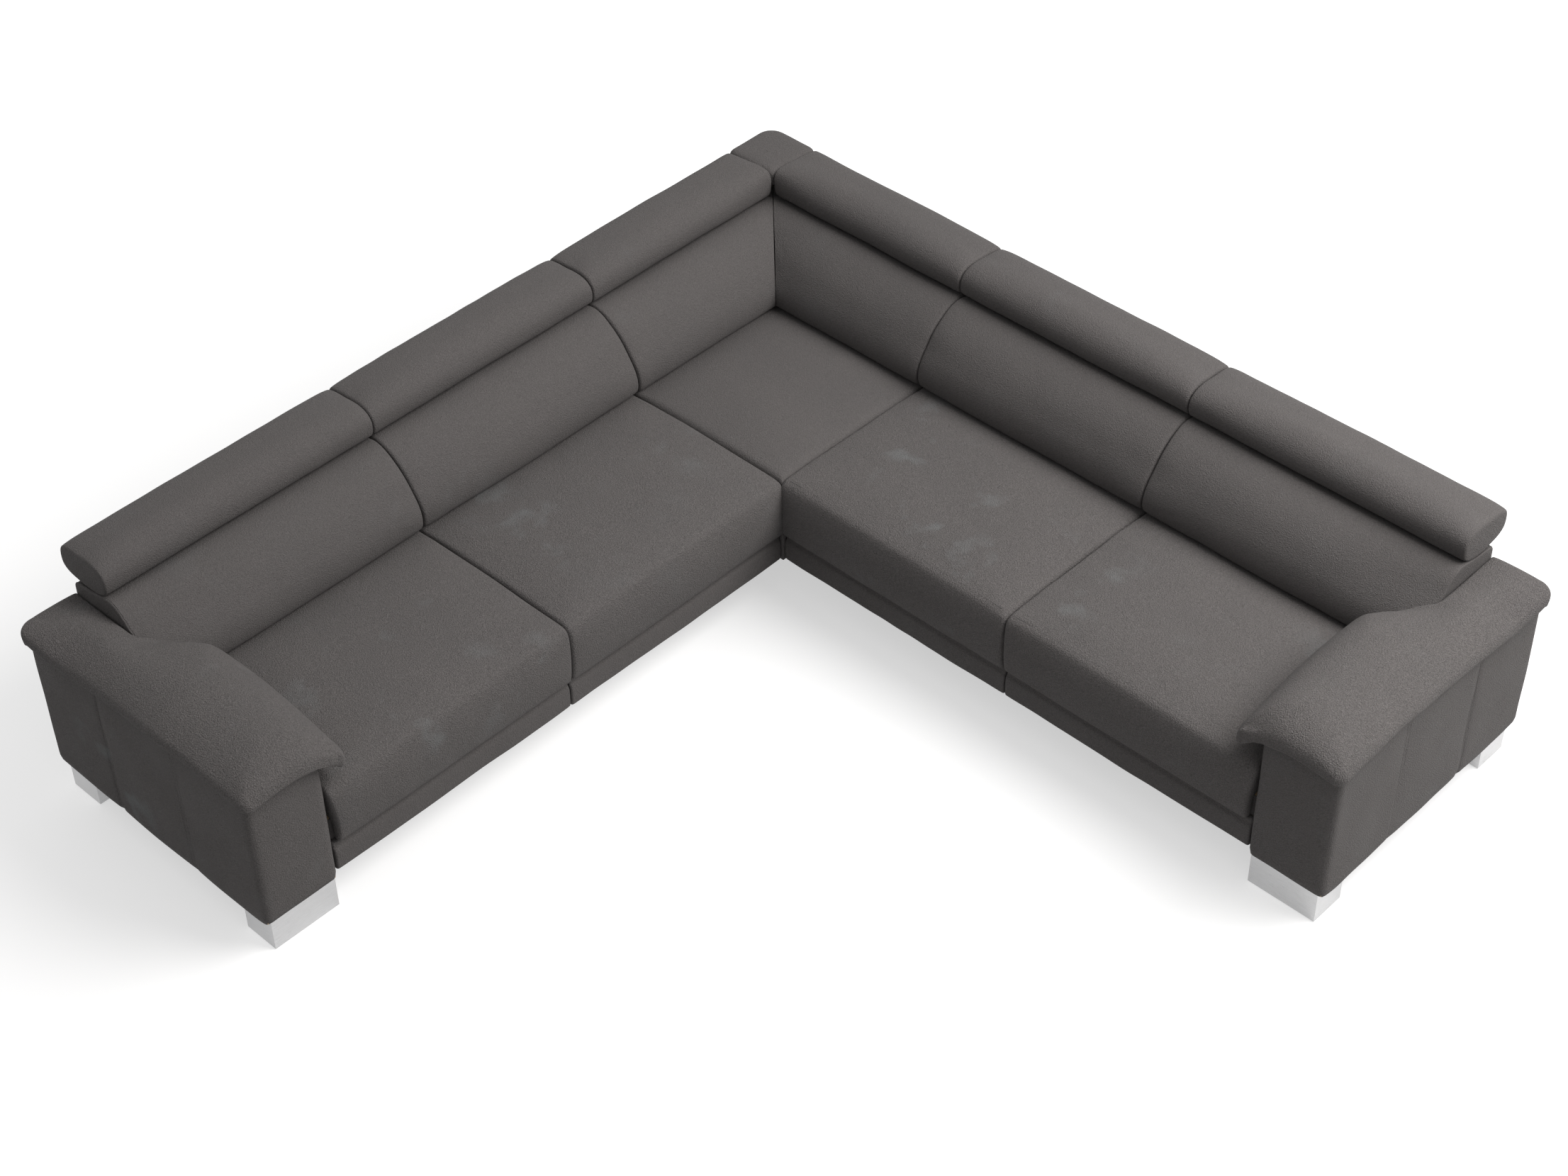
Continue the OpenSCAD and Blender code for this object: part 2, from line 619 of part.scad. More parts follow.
// Arm covers, an upholstered sleeve round each arm frame
module sleeve(a0, a1, d0, d1, z0, z1, r) {
    translate([0, 0, z0]) linear_extrude(height = z1 - z0) union() {
        translate([a0 + r, -d1]) square([a1 - a0 - 2 * r, d1 - d0]);
        translate([a0, -d1 + r]) square([a1 - a0, d1 - d0 - 2 * r]);
        for (a = [a0 + r, a1 - r]) for (d = [d0 + r, d1 - r]) translate([a, -d]) circle(r = r, $fn = 40);
    }
}
cover_r = 16;
module wing_arm_cover() {
    difference() {
        sleeve(arm_in, arm_out, rear_face, seat_reach, leg_h + seat_gap, arm_top, cover_r);
        board(frame_in - hard_gap, frame_out + hard_gap, frame_far - hard_gap, frame_near + hard_gap,
            leg_h - 1, arm_top + 1);
        arm_notch(0);
        bolt_bores_arm();
    }
}
module back_wing_arm_cover() { color(fabric_c) on_back_wing() wing_arm_cover(); }
module side_wing_arm_cover() { color(fabric_c) on_side_wing() wing_arm_cover(); }

// Arm pads, narrow beside the back and spreading over the seat in front of it
pad_under = arm_top + seat_gap;
pad_rear = rear_face + 44;
pad_front = seat_reach + pad_nose;
pad_tip = arm_in - pad_in;
pad_clear_a = back_end + notch_gap + 5;
pad_lip_least = 12;
pad_turn = 125;
pad_turn_start = notch_d + 8;
// Crown height that the pad's heights over the seat are drawn for
pad_drawn_t = 95;
// Share across the pad, height share beside the back, and height over the seat
pad_top_chain = [[0, 0.34, -45], [0.02, 0.50, -12], [0.10, 0.74, 26], [0.25, 0.90, 58], [0.45, 0.97, 81],
    [0.69, 1, 95], [0.885, 0.93, 88], [0.976, 0.70, 66], [1, 0.50, 47]];
// Share of the lip over the seat, or across the pad, and height
pad_lip_chain = [[0.12, -49], [0.42, -42], [0.78, -20], [1, 0]];
pad_low_chain = [[0.45, 0], [0.69, 0], [0.87, 0], [0.925, 8], [0.98, 27]];
function pad_inner(d) = mix(pad_clear_a, pad_tip, smooth((d - pad_turn_start) / pad_turn));
// Depth at which the lip first reaches over the arm's inner face
lip_share = (pad_clear_a - arm_in + soft_gap + pad_lip_least) / (pad_clear_a - pad_tip);
lip_start = pad_turn_start + pad_turn * (0.5 - sin(asin(1 - 2 * lip_share) / 3));
pad_turn_end = pad_turn_start + pad_turn;
function pad_lip(d) = max(pad_lip_least, arm_in - soft_gap - pad_inner(d));
function pad_droop(d) = (pad_lip(d) - pad_lip_least) / (pad_in - soft_gap - pad_lip_least);
function pad_tops(d) = let (g = pad_droop(d), inner = pad_inner(d)) [for (p = pad_top_chain)
    [mix(inner, pad_end, p[0]), -d, pad_under + mix(p[1] * pad_t, p[2] * pad_t / pad_drawn_t, g)]];
function pad_lows(d) = let (g = pad_droop(d), inner = pad_inner(d), lip = pad_lip(d)) concat(
    [for (p = pad_lip_chain) [inner + p[0] * lip, -d, pad_under + p[1] * g]],
    [for (p = pad_low_chain) [mix(inner, pad_end, p[0]), -d, pad_under + p[1]]]);
function pad_squeeze(d) = let (e = min(d - pad_rear, pad_front - d)) mix(0.25, 1, sin(90 * min(1, e / 36)));
function pad_squeezed(line, mids, q, d) =
    [for (i = [0 : len(line) - 1]) [line[i][0], -d, mix(mids[i], line[i][2], q)]];
function pad_ring(d) =
    let (tops = pad_tops(d), lows = pad_lows(d), q = pad_squeeze(d),
        mids = [for (i = [0 : len(tops) - 1]) (tops[i][2] + lows[i][2]) / 2])
    concat(pad_squeezed(tops, mids, q, d), reversed(pad_squeezed(lows, mids, q, d)));
pad_ds = [pad_rear, pad_rear + 12, pad_rear + 36, mix(pad_rear, notch_d, 0.55), pad_turn_start,
    mix(pad_turn_start, lip_start, 0.5), lip_start, mix(lip_start, pad_turn_end, 0.45), pad_turn_end,
    mix(pad_turn_end, pad_front, 0.5), pad_front - 36, pad_front - 12, pad_front];
module wing_arm_pad() { loft([for (d = reversed(pad_ds)) pad_ring(d)]); }
module back_wing_arm_pad() { color(fabric_c) on_back_wing() wing_arm_pad(); }
module side_wing_arm_pad() { color(fabric_c) on_side_wing() wing_arm_pad(); }

// Fabric bands under the seats
module band(a0, a1) {
    r = 6;
    translate([a0 + 1, 0, 0]) rotate([90, 0, 90]) linear_extrude(height = a1 - a0 - 2) union() {
        translate([-front_rail_d - band_t + r, band_low]) square([band_t - r, band_h]);
        translate([-front_rail_d - band_t, band_low + r]) square([band_t, band_h - 2 * r]);
        for (z = [band_low + r, band_high - r])
            translate([-front_rail_d - band_t + r, z]) circle(r = r, $fn = 24);
    }
}
module back_wing_inner_band() { color(fabric_c) on_back_wing() band(wing_start, wing_mid); }
module back_wing_outer_band() { color(fabric_c) on_back_wing() band(wing_mid, wing_end); }
module side_wing_inner_band() { color(fabric_c) on_side_wing() band(wing_start, wing_mid); }
module side_wing_outer_band() { color(fabric_c) on_side_wing() band(wing_mid, wing_end); }

// Rear covers
module wing_rear_cover() {
    translate([0, -rear_face, 0]) rotate([90, 0, 0]) linear_extrude(height = rear_cover_t)
        polygon([[wing_start + soft_gap, base_clear], [wing_end - soft_gap, base_clear],
            [wing_end - soft_gap, arm_notch_z + 1], [back_end, arm_notch_z + 1],
            [back_end, back_top], [wing_start + soft_gap, back_top]]);
}
module back_wing_rear_cover() { color(fabric_c) on_back_wing() wing_rear_cover(); }
module side_wing_rear_cover() { color(fabric_c) on_side_wing() wing_rear_cover(); }
module corner_rear_cover() {
    color(fabric_c) on_back_wing() translate([0, 0, base_clear]) linear_extrude(height = back_h + base_h) {
        to = wing_start - soft_gap;
        r = 30;
        difference() {
            union() {
                translate([rear_face + r, -rear_face - r]) circle(r = r, $fn = 48);
                translate([rear_face + r, -frame_rear]) square([to - rear_face - r, rear_cover_t]);
                translate([rear_face, -to]) square([rear_cover_t, to - rear_face - r]);
            }
            translate([frame_rear, -to - 1]) square([to, to + 1 - frame_rear]);
        }
    }
}

// Cloth under the base frames, with holes for the feet
dust_gap = 0.3;
module dust_sheet(a0, a1, d0, d1) {
    board(a0, a1, d0, d1, base_clear - dust_gap - dust_t, base_clear - dust_gap);
}
module wing_dust() {
    difference() {
        dust_sheet(wing_start + 1, wing_end - 1, frame_rear + 1, front_rail_d - 1);
        for (d = foot_ds) bar_up(wing_mid, d, 0, base_clear + 1, foot_r + 1);
    }
}
module arm_dust() {
    board(frame_in + 1, frame_out - 1, rear_leg_d1 + 2, front_leg_d0 - 2,
        leg_h - dust_gap - dust_t, leg_h - dust_gap);
}
module dust_covers() {
    color(black_c) {
        on_back_wing() wing_dust();
        on_side_wing() wing_dust();
        on_back_wing() arm_dust();
        on_side_wing() arm_dust();
        on_back_wing() difference() {
            dust_sheet(frame_rear + 1, wing_start - 1, frame_rear + 1, wing_start - 1);
            bar_up(corner_foot, corner_foot, 0, base_clear + 1, foot_r + 1);
            bar_up(corner_rear_foot_a, corner_rear_foot_d, 0, base_clear + 1, foot_r + 1);
        }
    }
}

// Block legs, a formed steel box with a screwed top plate
module leg(d0) {
    difference() {
        board(leg_a0, leg_a1, d0, d0 + leg_d, glide_show, leg_h);
        board(leg_a0 + leg_wall, leg_a1 - leg_wall, d0 + leg_wall, d0 + leg_d - leg_wall,
            glide_show - 1, leg_h - leg_top_t);
        for (p = leg_screw_places)
            bar_up(p[0], p[1], leg_h - leg_top_t - 1, leg_h + 1, leg_screw_r + screw_gap);
    }
}
module back_wing_front_leg() { color(chrome_c) on_back_wing() leg(front_leg_d0); }
module back_wing_rear_leg() { color(chrome_c) on_back_wing() leg(rear_leg_d0); }
module side_wing_front_leg() { color(chrome_c) on_side_wing() leg(front_leg_d0); }
module side_wing_rear_leg() { color(chrome_c) on_side_wing() leg(rear_leg_d0); }

// Plastic glides that close the legs from below
module glides() {
    inset = leg_wall + hard_gap;
    for (d = [front_leg_d0, rear_leg_d0])
        board(leg_a0 + inset, leg_a1 - inset, d + inset, d + leg_d - inset, 0, glide_show + 12);
}
module leg_glides() {
    color(black_c) {
        on_back_wing() glides();
        on_side_wing() glides();
    }
}

// Screws from inside the legs into the arm frames
leg_screw_head_r = 6;
leg_screw_head_h = 4;
module wing_leg_screws() {
    for (p = leg_screw_places) {
        bar_up(p[0], p[1], leg_h - leg_top_t - leg_screw_head_h, leg_h - leg_top_t, leg_screw_head_r);
        bar_up(p[0], p[1], leg_h - leg_top_t - joint_eps, leg_h + leg_screw_len - 1, leg_screw_r);
    }
}
module leg_screws() {
    color(steel_c) {
        on_back_wing() wing_leg_screws();
        on_side_wing() wing_leg_screws();
    }
}

// Plastic feet under the frames, each with its stem in a rail
module foot(a, d) {
    bar_up(a, d, 0, base_clear, foot_r);
    bar_up(a, d, base_clear - joint_eps, base_clear + stem_h, stem_r);
}
module support_feet() {
    color(black_c) {
        on_back_wing() {
            for (d = foot_ds) foot(wing_mid, d);
            foot(corner_foot, corner_foot);
            foot(corner_rear_foot_a, corner_rear_foot_d);
        }
        on_side_wing() for (d = foot_ds) foot(wing_mid, d);
    }
}

// Bolts between the modules, and between the seats and the arms
module bolt(a0, a1, d, z) {
    bar_along(a0 - bolt_head_h, a0, d, z, bolt_head_r);
    bar_along(a0 - joint_eps, a1 + joint_eps, d, z, bolt_r);
    bar_along(a1, a1 + bolt_head_h, d, z, bolt_head_r);
}
module wing_bolts() {
    for (d = bolt_ds) {
        bolt(wing_start - hard_gap - rail_t, wing_start + hard_gap + rail_t, d, bolt_z);
        bolt(wing_end - hard_gap - rail_t, frame_in + board_t, d, arm_bolt_z);
    }
}
module frame_bolts() {
    color(steel_c) {
        on_back_wing() wing_bolts();
        on_side_wing() wing_bolts();
    }
}

// Fixed hinge brackets with their pins, on the back frames' top rails
fixed_a = -5;
arm_a = fixed_a + hinge_plate_t + 0.3;
pin_cap_r = 7;
pin_cap_t = 3;
flange_w = 24;
pin_end = arm_a + hinge_plate_t + 0.3;
module bracket(h) {
    bar_along(h + fixed_a, h + fixed_a + hinge_plate_t, hinge_d, hinge_z, eye_r);
    translate([h + fixed_a, 0, 0]) rotate([90, 0, 90]) linear_extrude(height = hinge_plate_t)
        polygon([[-hinge_d, hinge_z - eye_r * 0.85], [-hinge_d - 2, hinge_z + eye_r * 0.85],
            [-frame_rear - 20, hinge_z - 2], [-frame_front + 5, back_top + hinge_plate_t],
            [-frame_front + 5, back_top], [-frame_rear, back_top]]);
    board(h + fixed_a - flange_w, h + fixed_a + joint_eps, frame_rear + 2, frame_front - 3,
        back_top, back_top + hinge_plate_t);
    bar_along(h + fixed_a, h + pin_end + pin_cap_t, hinge_d, hinge_z, pin_r);
    bar_along(h + pin_end, h + pin_end + pin_cap_t, hinge_d, hinge_z, pin_cap_r);
}
module wing_brackets() {
    for (h = hinge_places) difference() {
        bracket(h);
        hinge_screw_bores([h]);
    }
}
module headrest_brackets() {
    color(steel_c) {
        on_back_wing() wing_brackets();
        on_side_wing() wing_brackets();
    }
}
module wing_hinge_screws() {
    for (h = hinge_places) for (p = hinge_screws_at(h)) {
        bar_up(p[0], p[1], back_top - hinge_screw_h, back_top + hinge_plate_t + joint_eps, hinge_screw_r);
        bar_up(p[0], p[1], back_top + hinge_plate_t, back_top + hinge_plate_t + 2, hinge_screw_r * 2);
    }
}
module hinge_screws() {
    color(steel_c) {
        on_back_wing() wing_hinge_screws();
        on_side_wing() wing_hinge_screws();
    }
}

// Headrests: a padded roll round a steel plate, which two arms carry at the hinge pins
core_z = head_under + 26;
core_d0 = hinge_d + 20;
core_d1 = head_depth - head_rear - 40;
core_end = 40;
neck_d1 = core_d0 + 14;
module hinge_arm(h) {
    difference() {
        union() {
            bar_along(h + arm_a, h + arm_a + hinge_plate_t, hinge_d, hinge_z, eye_r);
            translate([h + arm_a, 0, 0]) rotate([90, 0, 90]) linear_extrude(height = hinge_plate_t)
                polygon([[-hinge_d + eye_r * 0.85, hinge_z + 2], [-hinge_d - 3, hinge_z - eye_r * 0.85],
                    [-neck_d1, core_z - 8], [-neck_d1, core_z], [-core_d0, core_z]]);
        }
        bar_along(h + arm_a - 1, h + arm_a + hinge_plate_t + 1, hinge_d, hinge_z, pin_r + pin_gap);
    }
}
module headrest_frame(i) {
    span = hinge_span(i);
    board(span[0] + core_end, span[1] - core_end, core_d0, core_d1, core_z - joint_eps, core_z + core_t);
    for (k = [0, 1]) hinge_arm(hinge_places[2 * i + k]);
}
module back_wing_corner_hinge_arms() { color(steel_c) on_back_wing() headrest_frame(0); }
module back_wing_inner_hinge_arms() { color(steel_c) on_back_wing() headrest_frame(1); }
module back_wing_outer_hinge_arms() { color(steel_c) on_back_wing() headrest_frame(2); }
module side_wing_corner_hinge_arms() { color(steel_c) on_side_wing() headrest_frame(0); }
module side_wing_inner_hinge_arms() { color(steel_c) on_side_wing() headrest_frame(1); }
module side_wing_outer_hinge_arms() { color(steel_c) on_side_wing() headrest_frame(2); }

// Headrest section: shares of depth and thickness, end pull in depth and height, crown share
head_top_shares = [[0, 0.465, 4, 0, 0.1], [0.01, 0.718, 4, -3, 0.4], [0.092, 0.859, 3, -5, 0.7],
    [0.27, 0.934, 0, -6, 1], [0.50, 0.972, 0, -6, 1], [0.73, 1, 0, -6, 0.9], [0.918, 0.859, -4, -5, 0.5],
    [1, 0.634, -6, -3, 0.2]];
head_low_shares = [[0.005, 0.296, 4, 0, 0], [0.051, 0.155, 3, 0, 0], [0.194, 0.061, 0, 0, 0],
    [0.321, 0.023, 0, 0, 0], [0.51, 0, 0, 0, 0], [0.704, 0.01, 0, 0, 0], [0.883, 0.127, -3, 1, 0],
    [0.99, 0.343, -6, 0, 0]];
function head_chain(shares) = [for (s = shares)
    [s[0] * head_depth - head_rear + s[2], head_under + s[1] * head_t + s[3], -s[2], -s[3], s[4], 0]];
module headrest(i) {
    span = hinge_span(i);
    slot_gap = 0.5;
    difference() {
        cushion(head_chain(head_top_shares), head_chain(head_low_shares), span[0], span[1], head_stations,
            head_crown, 0);
        board(span[0] + core_end - slot_gap, span[1] - core_end + slot_gap,
            core_d0 - slot_gap, core_d1 + slot_gap, core_z - slot_gap, core_z + core_t + slot_gap);
        for (k = [0, 1]) let (h = hinge_places[2 * i + k])
            board(h + arm_a - slot_gap, h + arm_a + hinge_plate_t + slot_gap,
                hinge_d - eye_r, neck_d1 + slot_gap, hinge_z - 10, core_z);
    }
}
module back_wing_corner_headrest() { color(fabric_c) on_back_wing() headrest(0); }
module back_wing_inner_headrest() { color(fabric_c) on_back_wing() headrest(1); }
module back_wing_outer_headrest() { color(fabric_c) on_back_wing() headrest(2); }
module side_wing_corner_headrest() { color(fabric_c) on_side_wing() headrest(0); }
module side_wing_inner_headrest() { color(fabric_c) on_side_wing() headrest(1); }
module side_wing_outer_headrest() { color(fabric_c) on_side_wing() headrest(2); }

corner_base_frame();
back_wing_base_frame();
side_wing_base_frame();
corner_back_frame();
back_wing_back_frame();
side_wing_back_frame();
back_wing_arm_frame();
side_wing_arm_frame();
seat_springs();
spring_clips();
back_webbing();
corner_seat_cushion();
back_wing_inner_seat_cushion();
back_wing_outer_seat_cushion();
side_wing_inner_seat_cushion();
side_wing_outer_seat_cushion();
back_wing_corner_back_cushion();
back_wing_inner_back_cushion();
back_wing_outer_back_cushion();
side_wing_corner_back_cushion();
side_wing_inner_back_cushion();
side_wing_outer_back_cushion();
corner_block();
back_wing_arm_cover();
side_wing_arm_cover();
back_wing_arm_pad();
side_wing_arm_pad();
back_wing_inner_band();
back_wing_outer_band();
side_wing_inner_band();
side_wing_outer_band();
corner_rear_cover();
back_wing_rear_cover();
side_wing_rear_cover();
dust_covers();
back_wing_front_leg();
back_wing_rear_leg();
side_wing_front_leg();
side_wing_rear_leg();
leg_glides();
leg_screws();
support_feet();
frame_bolts();
headrest_brackets();
hinge_screws();
back_wing_corner_headrest();
back_wing_inner_headrest();
back_wing_outer_headrest();
side_wing_corner_headrest();
side_wing_inner_headrest();
side_wing_outer_headrest();
back_wing_corner_hinge_arms();
back_wing_inner_hinge_arms();
back_wing_outer_hinge_arms();
side_wing_corner_hinge_arms();
side_wing_inner_hinge_arms();
side_wing_outer_hinge_arms();
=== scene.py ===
"""A grey corner sofa: its upholstery, finishes, floor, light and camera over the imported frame.

A place on a wing is (a, d, z): a runs along the wing from the outer back corner, d is depth
from the back, and z is height, all in metres.
"""
import math

import bmesh
import bpy
import numpy as np
from mathutils import Matrix, Vector


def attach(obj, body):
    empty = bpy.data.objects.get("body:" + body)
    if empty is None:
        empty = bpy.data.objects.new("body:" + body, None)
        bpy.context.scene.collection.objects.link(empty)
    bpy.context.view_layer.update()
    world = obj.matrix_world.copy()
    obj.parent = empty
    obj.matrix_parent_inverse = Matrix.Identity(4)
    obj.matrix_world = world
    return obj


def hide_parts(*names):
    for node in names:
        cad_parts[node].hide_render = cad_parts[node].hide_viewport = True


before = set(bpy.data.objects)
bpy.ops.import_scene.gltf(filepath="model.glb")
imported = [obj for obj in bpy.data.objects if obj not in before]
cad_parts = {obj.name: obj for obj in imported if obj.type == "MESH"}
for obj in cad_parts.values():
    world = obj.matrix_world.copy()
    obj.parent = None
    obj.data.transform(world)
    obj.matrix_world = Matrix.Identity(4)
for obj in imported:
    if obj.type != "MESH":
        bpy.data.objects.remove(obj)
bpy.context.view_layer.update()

CORNER = 1.414
WINGS = ("back_wing", "side_wing")
BODY = "base"

# Shared places, which follow the solids
WING_START = 0.923
SEAT_W = 0.82
WING_MID = WING_START + SEAT_W
WING_END = WING_MID + SEAT_W
ARM_IN = WING_END + 0.003
ARM_OUT = ARM_IN + 0.234
BACK_END = WING_END + 0.072
SEAT_REACH = 0.925
REAR_FACE = 0.033
GAP = 0.0008


# Points and lines

def mm(*rows):
    """Rows of places in millimetres, as an array in metres."""
    return np.array(rows) / 1000


def on_wing(wing, places):
    """Turn (a, d, z) rows into the frame's own x, y and z."""
    a, d, z = places[..., 0], places[..., 1], places[..., 2]
    if wing == "back_wing":
        return np.stack([a - CORNER, CORNER - d, z], axis=-1)
    return np.stack([d - CORNER, CORNER - a, z], axis=-1)


def even(line, count):
    """The line again, in count points at even distances."""
    steps = np.linalg.norm(np.diff(line, axis=0), axis=1)
    at = np.concatenate([[0.0], np.cumsum(steps)])
    to = np.linspace(0.0, at[-1], count)
    return np.stack([np.interp(to, at, line[:, k]) for k in range(line.shape[1])], axis=1)


def smooth_line(points, count):
    """A curve through the points, in count points at even distances."""
    p = np.array(points, float)
    q = np.vstack([2 * p[0] - p[1], p, 2 * p[-1] - p[-2]])
    parts = []
    t = np.linspace(0.0, 1.0, 24, endpoint=False)[:, None]
    for i in range(1, len(q) - 2):
        p0, p1, p2, p3 = q[i - 1], q[i], q[i + 1], q[i + 2]
        parts.append(0.5 * (2 * p1 + (p2 - p0) * t + (2 * p0 - 5 * p1 + 4 * p2 - p3) * t ** 2
                            + (3 * p1 - p0 - 3 * p2 + p3) * t ** 3))
    return even(np.vstack(parts + [p[-1:]]), count)


def looked_up(table, x):
    """The value at x between a table's rows of places and values."""
    return np.interp(x, *np.transpose(table))


def slow(share, power=0.6):
    """0 at both ends and 1 in the middle."""
    return np.power(np.clip(np.sin(np.pi * np.asarray(share, float)), 0.0, None), power)


def smoothstep(t):
    """0 up to 0, 1 from 1 on, and smooth between them."""
    c = np.clip(t, 0.0, 1.0)
    return c * c * (3 - 2 * c)


def mix(a, b, t):
    return a + (b - a) * t


def closed(upper, lower):
    """A closed ring from one chain and then the other one reversed."""
    return np.vstack([upper, lower[::-1]])


def placed(along, section):
    """The (d, z) rows of a section with their places along the wing, as (a, d, z) rows."""
    return np.column_stack([np.broadcast_to(along, len(section)), section])


def rounding(radius, count=5):
    """Distances from an end, where the stations of its rounded edge are."""
    return radius * (1 - np.cos(np.linspace(0.0, math.pi / 2, count)))


def stations(width, radius, step):
    """Distances along a piece: close together in its rounded ends, then even."""
    turn = rounding(radius)
    middle = np.linspace(radius, width - radius, max(3, int((width - 2 * radius) / step) + 1))
    return np.concatenate([turn[:-1], middle, (width - turn[:-1])[::-1]])


def edge_inset(from_end, radius):
    """How far a rounded edge lies inside the full section, at a distance from the end face."""
    short = np.clip(radius - from_end, 0.0, radius)
    return radius - np.sqrt(np.maximum(radius ** 2 - short ** 2, 0.0))


def near_end(room, length):
    """1 at an end, falling to 0 at a distance from it."""
    return max(0.0, 1 - room / length) ** 2


def outward(ring):
    """The outward normals of a closed ring in a plane."""
    t = np.roll(ring, -1, axis=0) - np.roll(ring, 1, axis=0)
    n = np.stack([t[:, 1], -t[:, 0]], axis=1)
    n /= np.maximum(np.linalg.norm(n, axis=1), 1e-9)[:, None]
    x, y = ring[:, 0], ring[:, 1]
    turning = np.sum(x * np.roll(y, -1) - y * np.roll(x, -1))
    return n if turning > 0 else -n


def waves(points, seed, length, count=7):
    """A smooth random value near -1 to 1 at each point, with waves of about that length."""
    rng = np.random.default_rng(seed)
    total = np.zeros(points.shape[:-1])
    for _ in range(count):
        way = rng.normal(size=3)
        way /= np.linalg.norm(way)
        turns = points @ way * 2 * math.pi / (length * rng.uniform(0.7, 1.5))
        total += np.sin(turns + rng.uniform(0, 6.28))
    return total / math.sqrt(count)


# Meshes

CAP_SHARES = (0.12, 0.35, 0.65)
UP_AND_DOWN = (np.array([0, 0, -1.0]), np.array([0, 0, 1.0]))


def add_object(name, data):
    made = bpy.data.objects.new(name, data)
    bpy.context.scene.collection.objects.link(made)
    return made


def make_mesh(name, places, faces, material, smooth=True):
    mesh = bpy.data.meshes.new(name)
    mesh.from_pydata([tuple(p) for p in places], [], faces)
    mesh.update()
    piece = add_object(name, mesh)
    mesh.materials.append(material)
    if smooth:
        mesh.polygons.foreach_set("use_smooth", [True] * len(mesh.polygons))
    return piece


def face_outward(piece, middle=None):
    """Turn the faces outward, and those of an open skin away from a point inside it."""
    bm = bmesh.new()
    bm.from_mesh(piece.data)
    bmesh.ops.recalc_face_normals(bm, faces=bm.faces)
    if middle is not None:
        middle = Vector(middle)
        if sum((f.calc_center_median() - middle).dot(f.normal) * f.calc_area() for f in bm.faces) < 0:
            bmesh.ops.reverse_faces(bm, faces=bm.faces)
    bm.to_mesh(piece.data)
    bm.free()


def hoop(first, second, n):
    """The faces between two closed rings of n vertices, from the numbers of their first ones."""
    return [(first + j, first + (j + 1) % n, second + (j + 1) % n, second + j) for j in range(n)]


def sheet_faces(rows, columns):
    """The faces of a grid of vertices."""
    return [(i * columns + j, i * columns + j + 1, (i + 1) * columns + j + 1, (i + 1) * columns + j)
            for i in range(rows - 1) for j in range(columns - 1)]


def loft(name, wing, rings, material, caps=(0.0, 0.0), cap_way=None):
    """A closed body through rings on a wing, each one chain and then the other one reversed.

    caps is how far the middle of each end stands out, along cap_way.
    """
    rings = on_wing(wing, np.array(rings))
    m, n, _ = rings.shape
    half = n // 2
    places = [rings.reshape(-1, 3)]
    faces = []
    for i in range(m - 1):
        faces += hoop(i * n, (i + 1) * n, n)
    count = m * n
    for end, (row, beside) in enumerate(((0, 1), (m - 1, m - 2))):
        ring = rings[row]
        mids = 0.5 * (ring[:half] + ring[n - 1:half - 1:-1])
        inner = closed(mids, mids)
        way = (ring - rings[beside]).mean(axis=0) if cap_way is None else cap_way[end]
        ends = slow((np.arange(half) + 0.5) / half, 0.5)[:, None]
        stand = way / np.linalg.norm(way) * caps[end] * closed(ends, ends)
        last = row * n
        for share in CAP_SHARES:
            places.append(mix(ring, inner, share) + stand * math.sin(share * math.pi / 2))
            faces += hoop(last, count, n)
            last, count = count, count + n
        places.append(mids + stand[:half])
        for j in range(half - 1):
            faces.append((last + j, last + j + 1, count + j + 1, count + j))
            faces.append((last + n - 1 - j, last + n - 2 - j, count + j + 1, count + j))
        faces += [(last, last + n - 1, count), (last + half - 1, last + half, count + half - 1)]
        count += half
    piece = make_mesh(name, np.vstack(places), faces, material)
    face_outward(piece)
    return piece


def grid_of(rings):
    """The numbers of the vertices that a loft makes of its rings."""
    rows, columns, _ = np.shape(rings)
    return np.arange(rows * columns).reshape(rows, columns)


def rows_of(piece, what="co"):
    """The place of each vertex, or its normal."""
    flat = np.empty(len(piece.data.vertices) * 3)
    piece.data.vertices.foreach_get(what, flat)
    return flat.reshape(-1, 3)


def set_coords(piece, places):
    piece.data.vertices.foreach_set("co", np.asarray(places, float).reshape(-1))
    piece.data.update()


def push(piece, heights):
    """Move the vertices along their normals."""
    set_coords(piece, rows_of(piece) + rows_of(piece, "normal") * heights[:, None])


def apply_all(piece):
    """Keep what the modifiers make as the piece's own mesh."""
    graph = bpy.context.evaluated_depsgraph_get()
    made = bpy.data.meshes.new_from_object(piece.evaluated_get(graph))
    old = piece.data
    name = old.name
    piece.modifiers.clear()
    piece.data = made
    bpy.data.meshes.remove(old)
    piece.data.name = name


def subdivide(piece):
    mod = piece.modifiers.new("subdivision", "SUBSURF")
    mod.levels = mod.render_levels = 1
    apply_all(piece)
    piece.data.polygons.foreach_set("use_smooth", [True] * len(piece.data.polygons))


# Materials

def set_inputs(tree, node, inputs):
    """Give a node's inputs their values, or wire them to other nodes' outputs."""
    for key, value in inputs.items():
        if hasattr(value, "links"):
            tree.links.new(value, node.inputs[key])
        else:
            node.inputs[key].default_value = value


def add_node(tree, kind, inputs, **settings):
    node = tree.nodes.new("ShaderNode" + kind)
    for key, value in settings.items():
        setattr(node, key, value)
    set_inputs(tree, node, inputs)
    return node


def new_material(name):
    mat = bpy.data.materials.new(name)
    mat.use_nodes = True
    return mat, mat.node_tree, mat.node_tree.nodes["Principled BSDF"]


def add_places(tree, kind="Object"):
    return add_node(tree, "TexCoord", {}).outputs[kind]


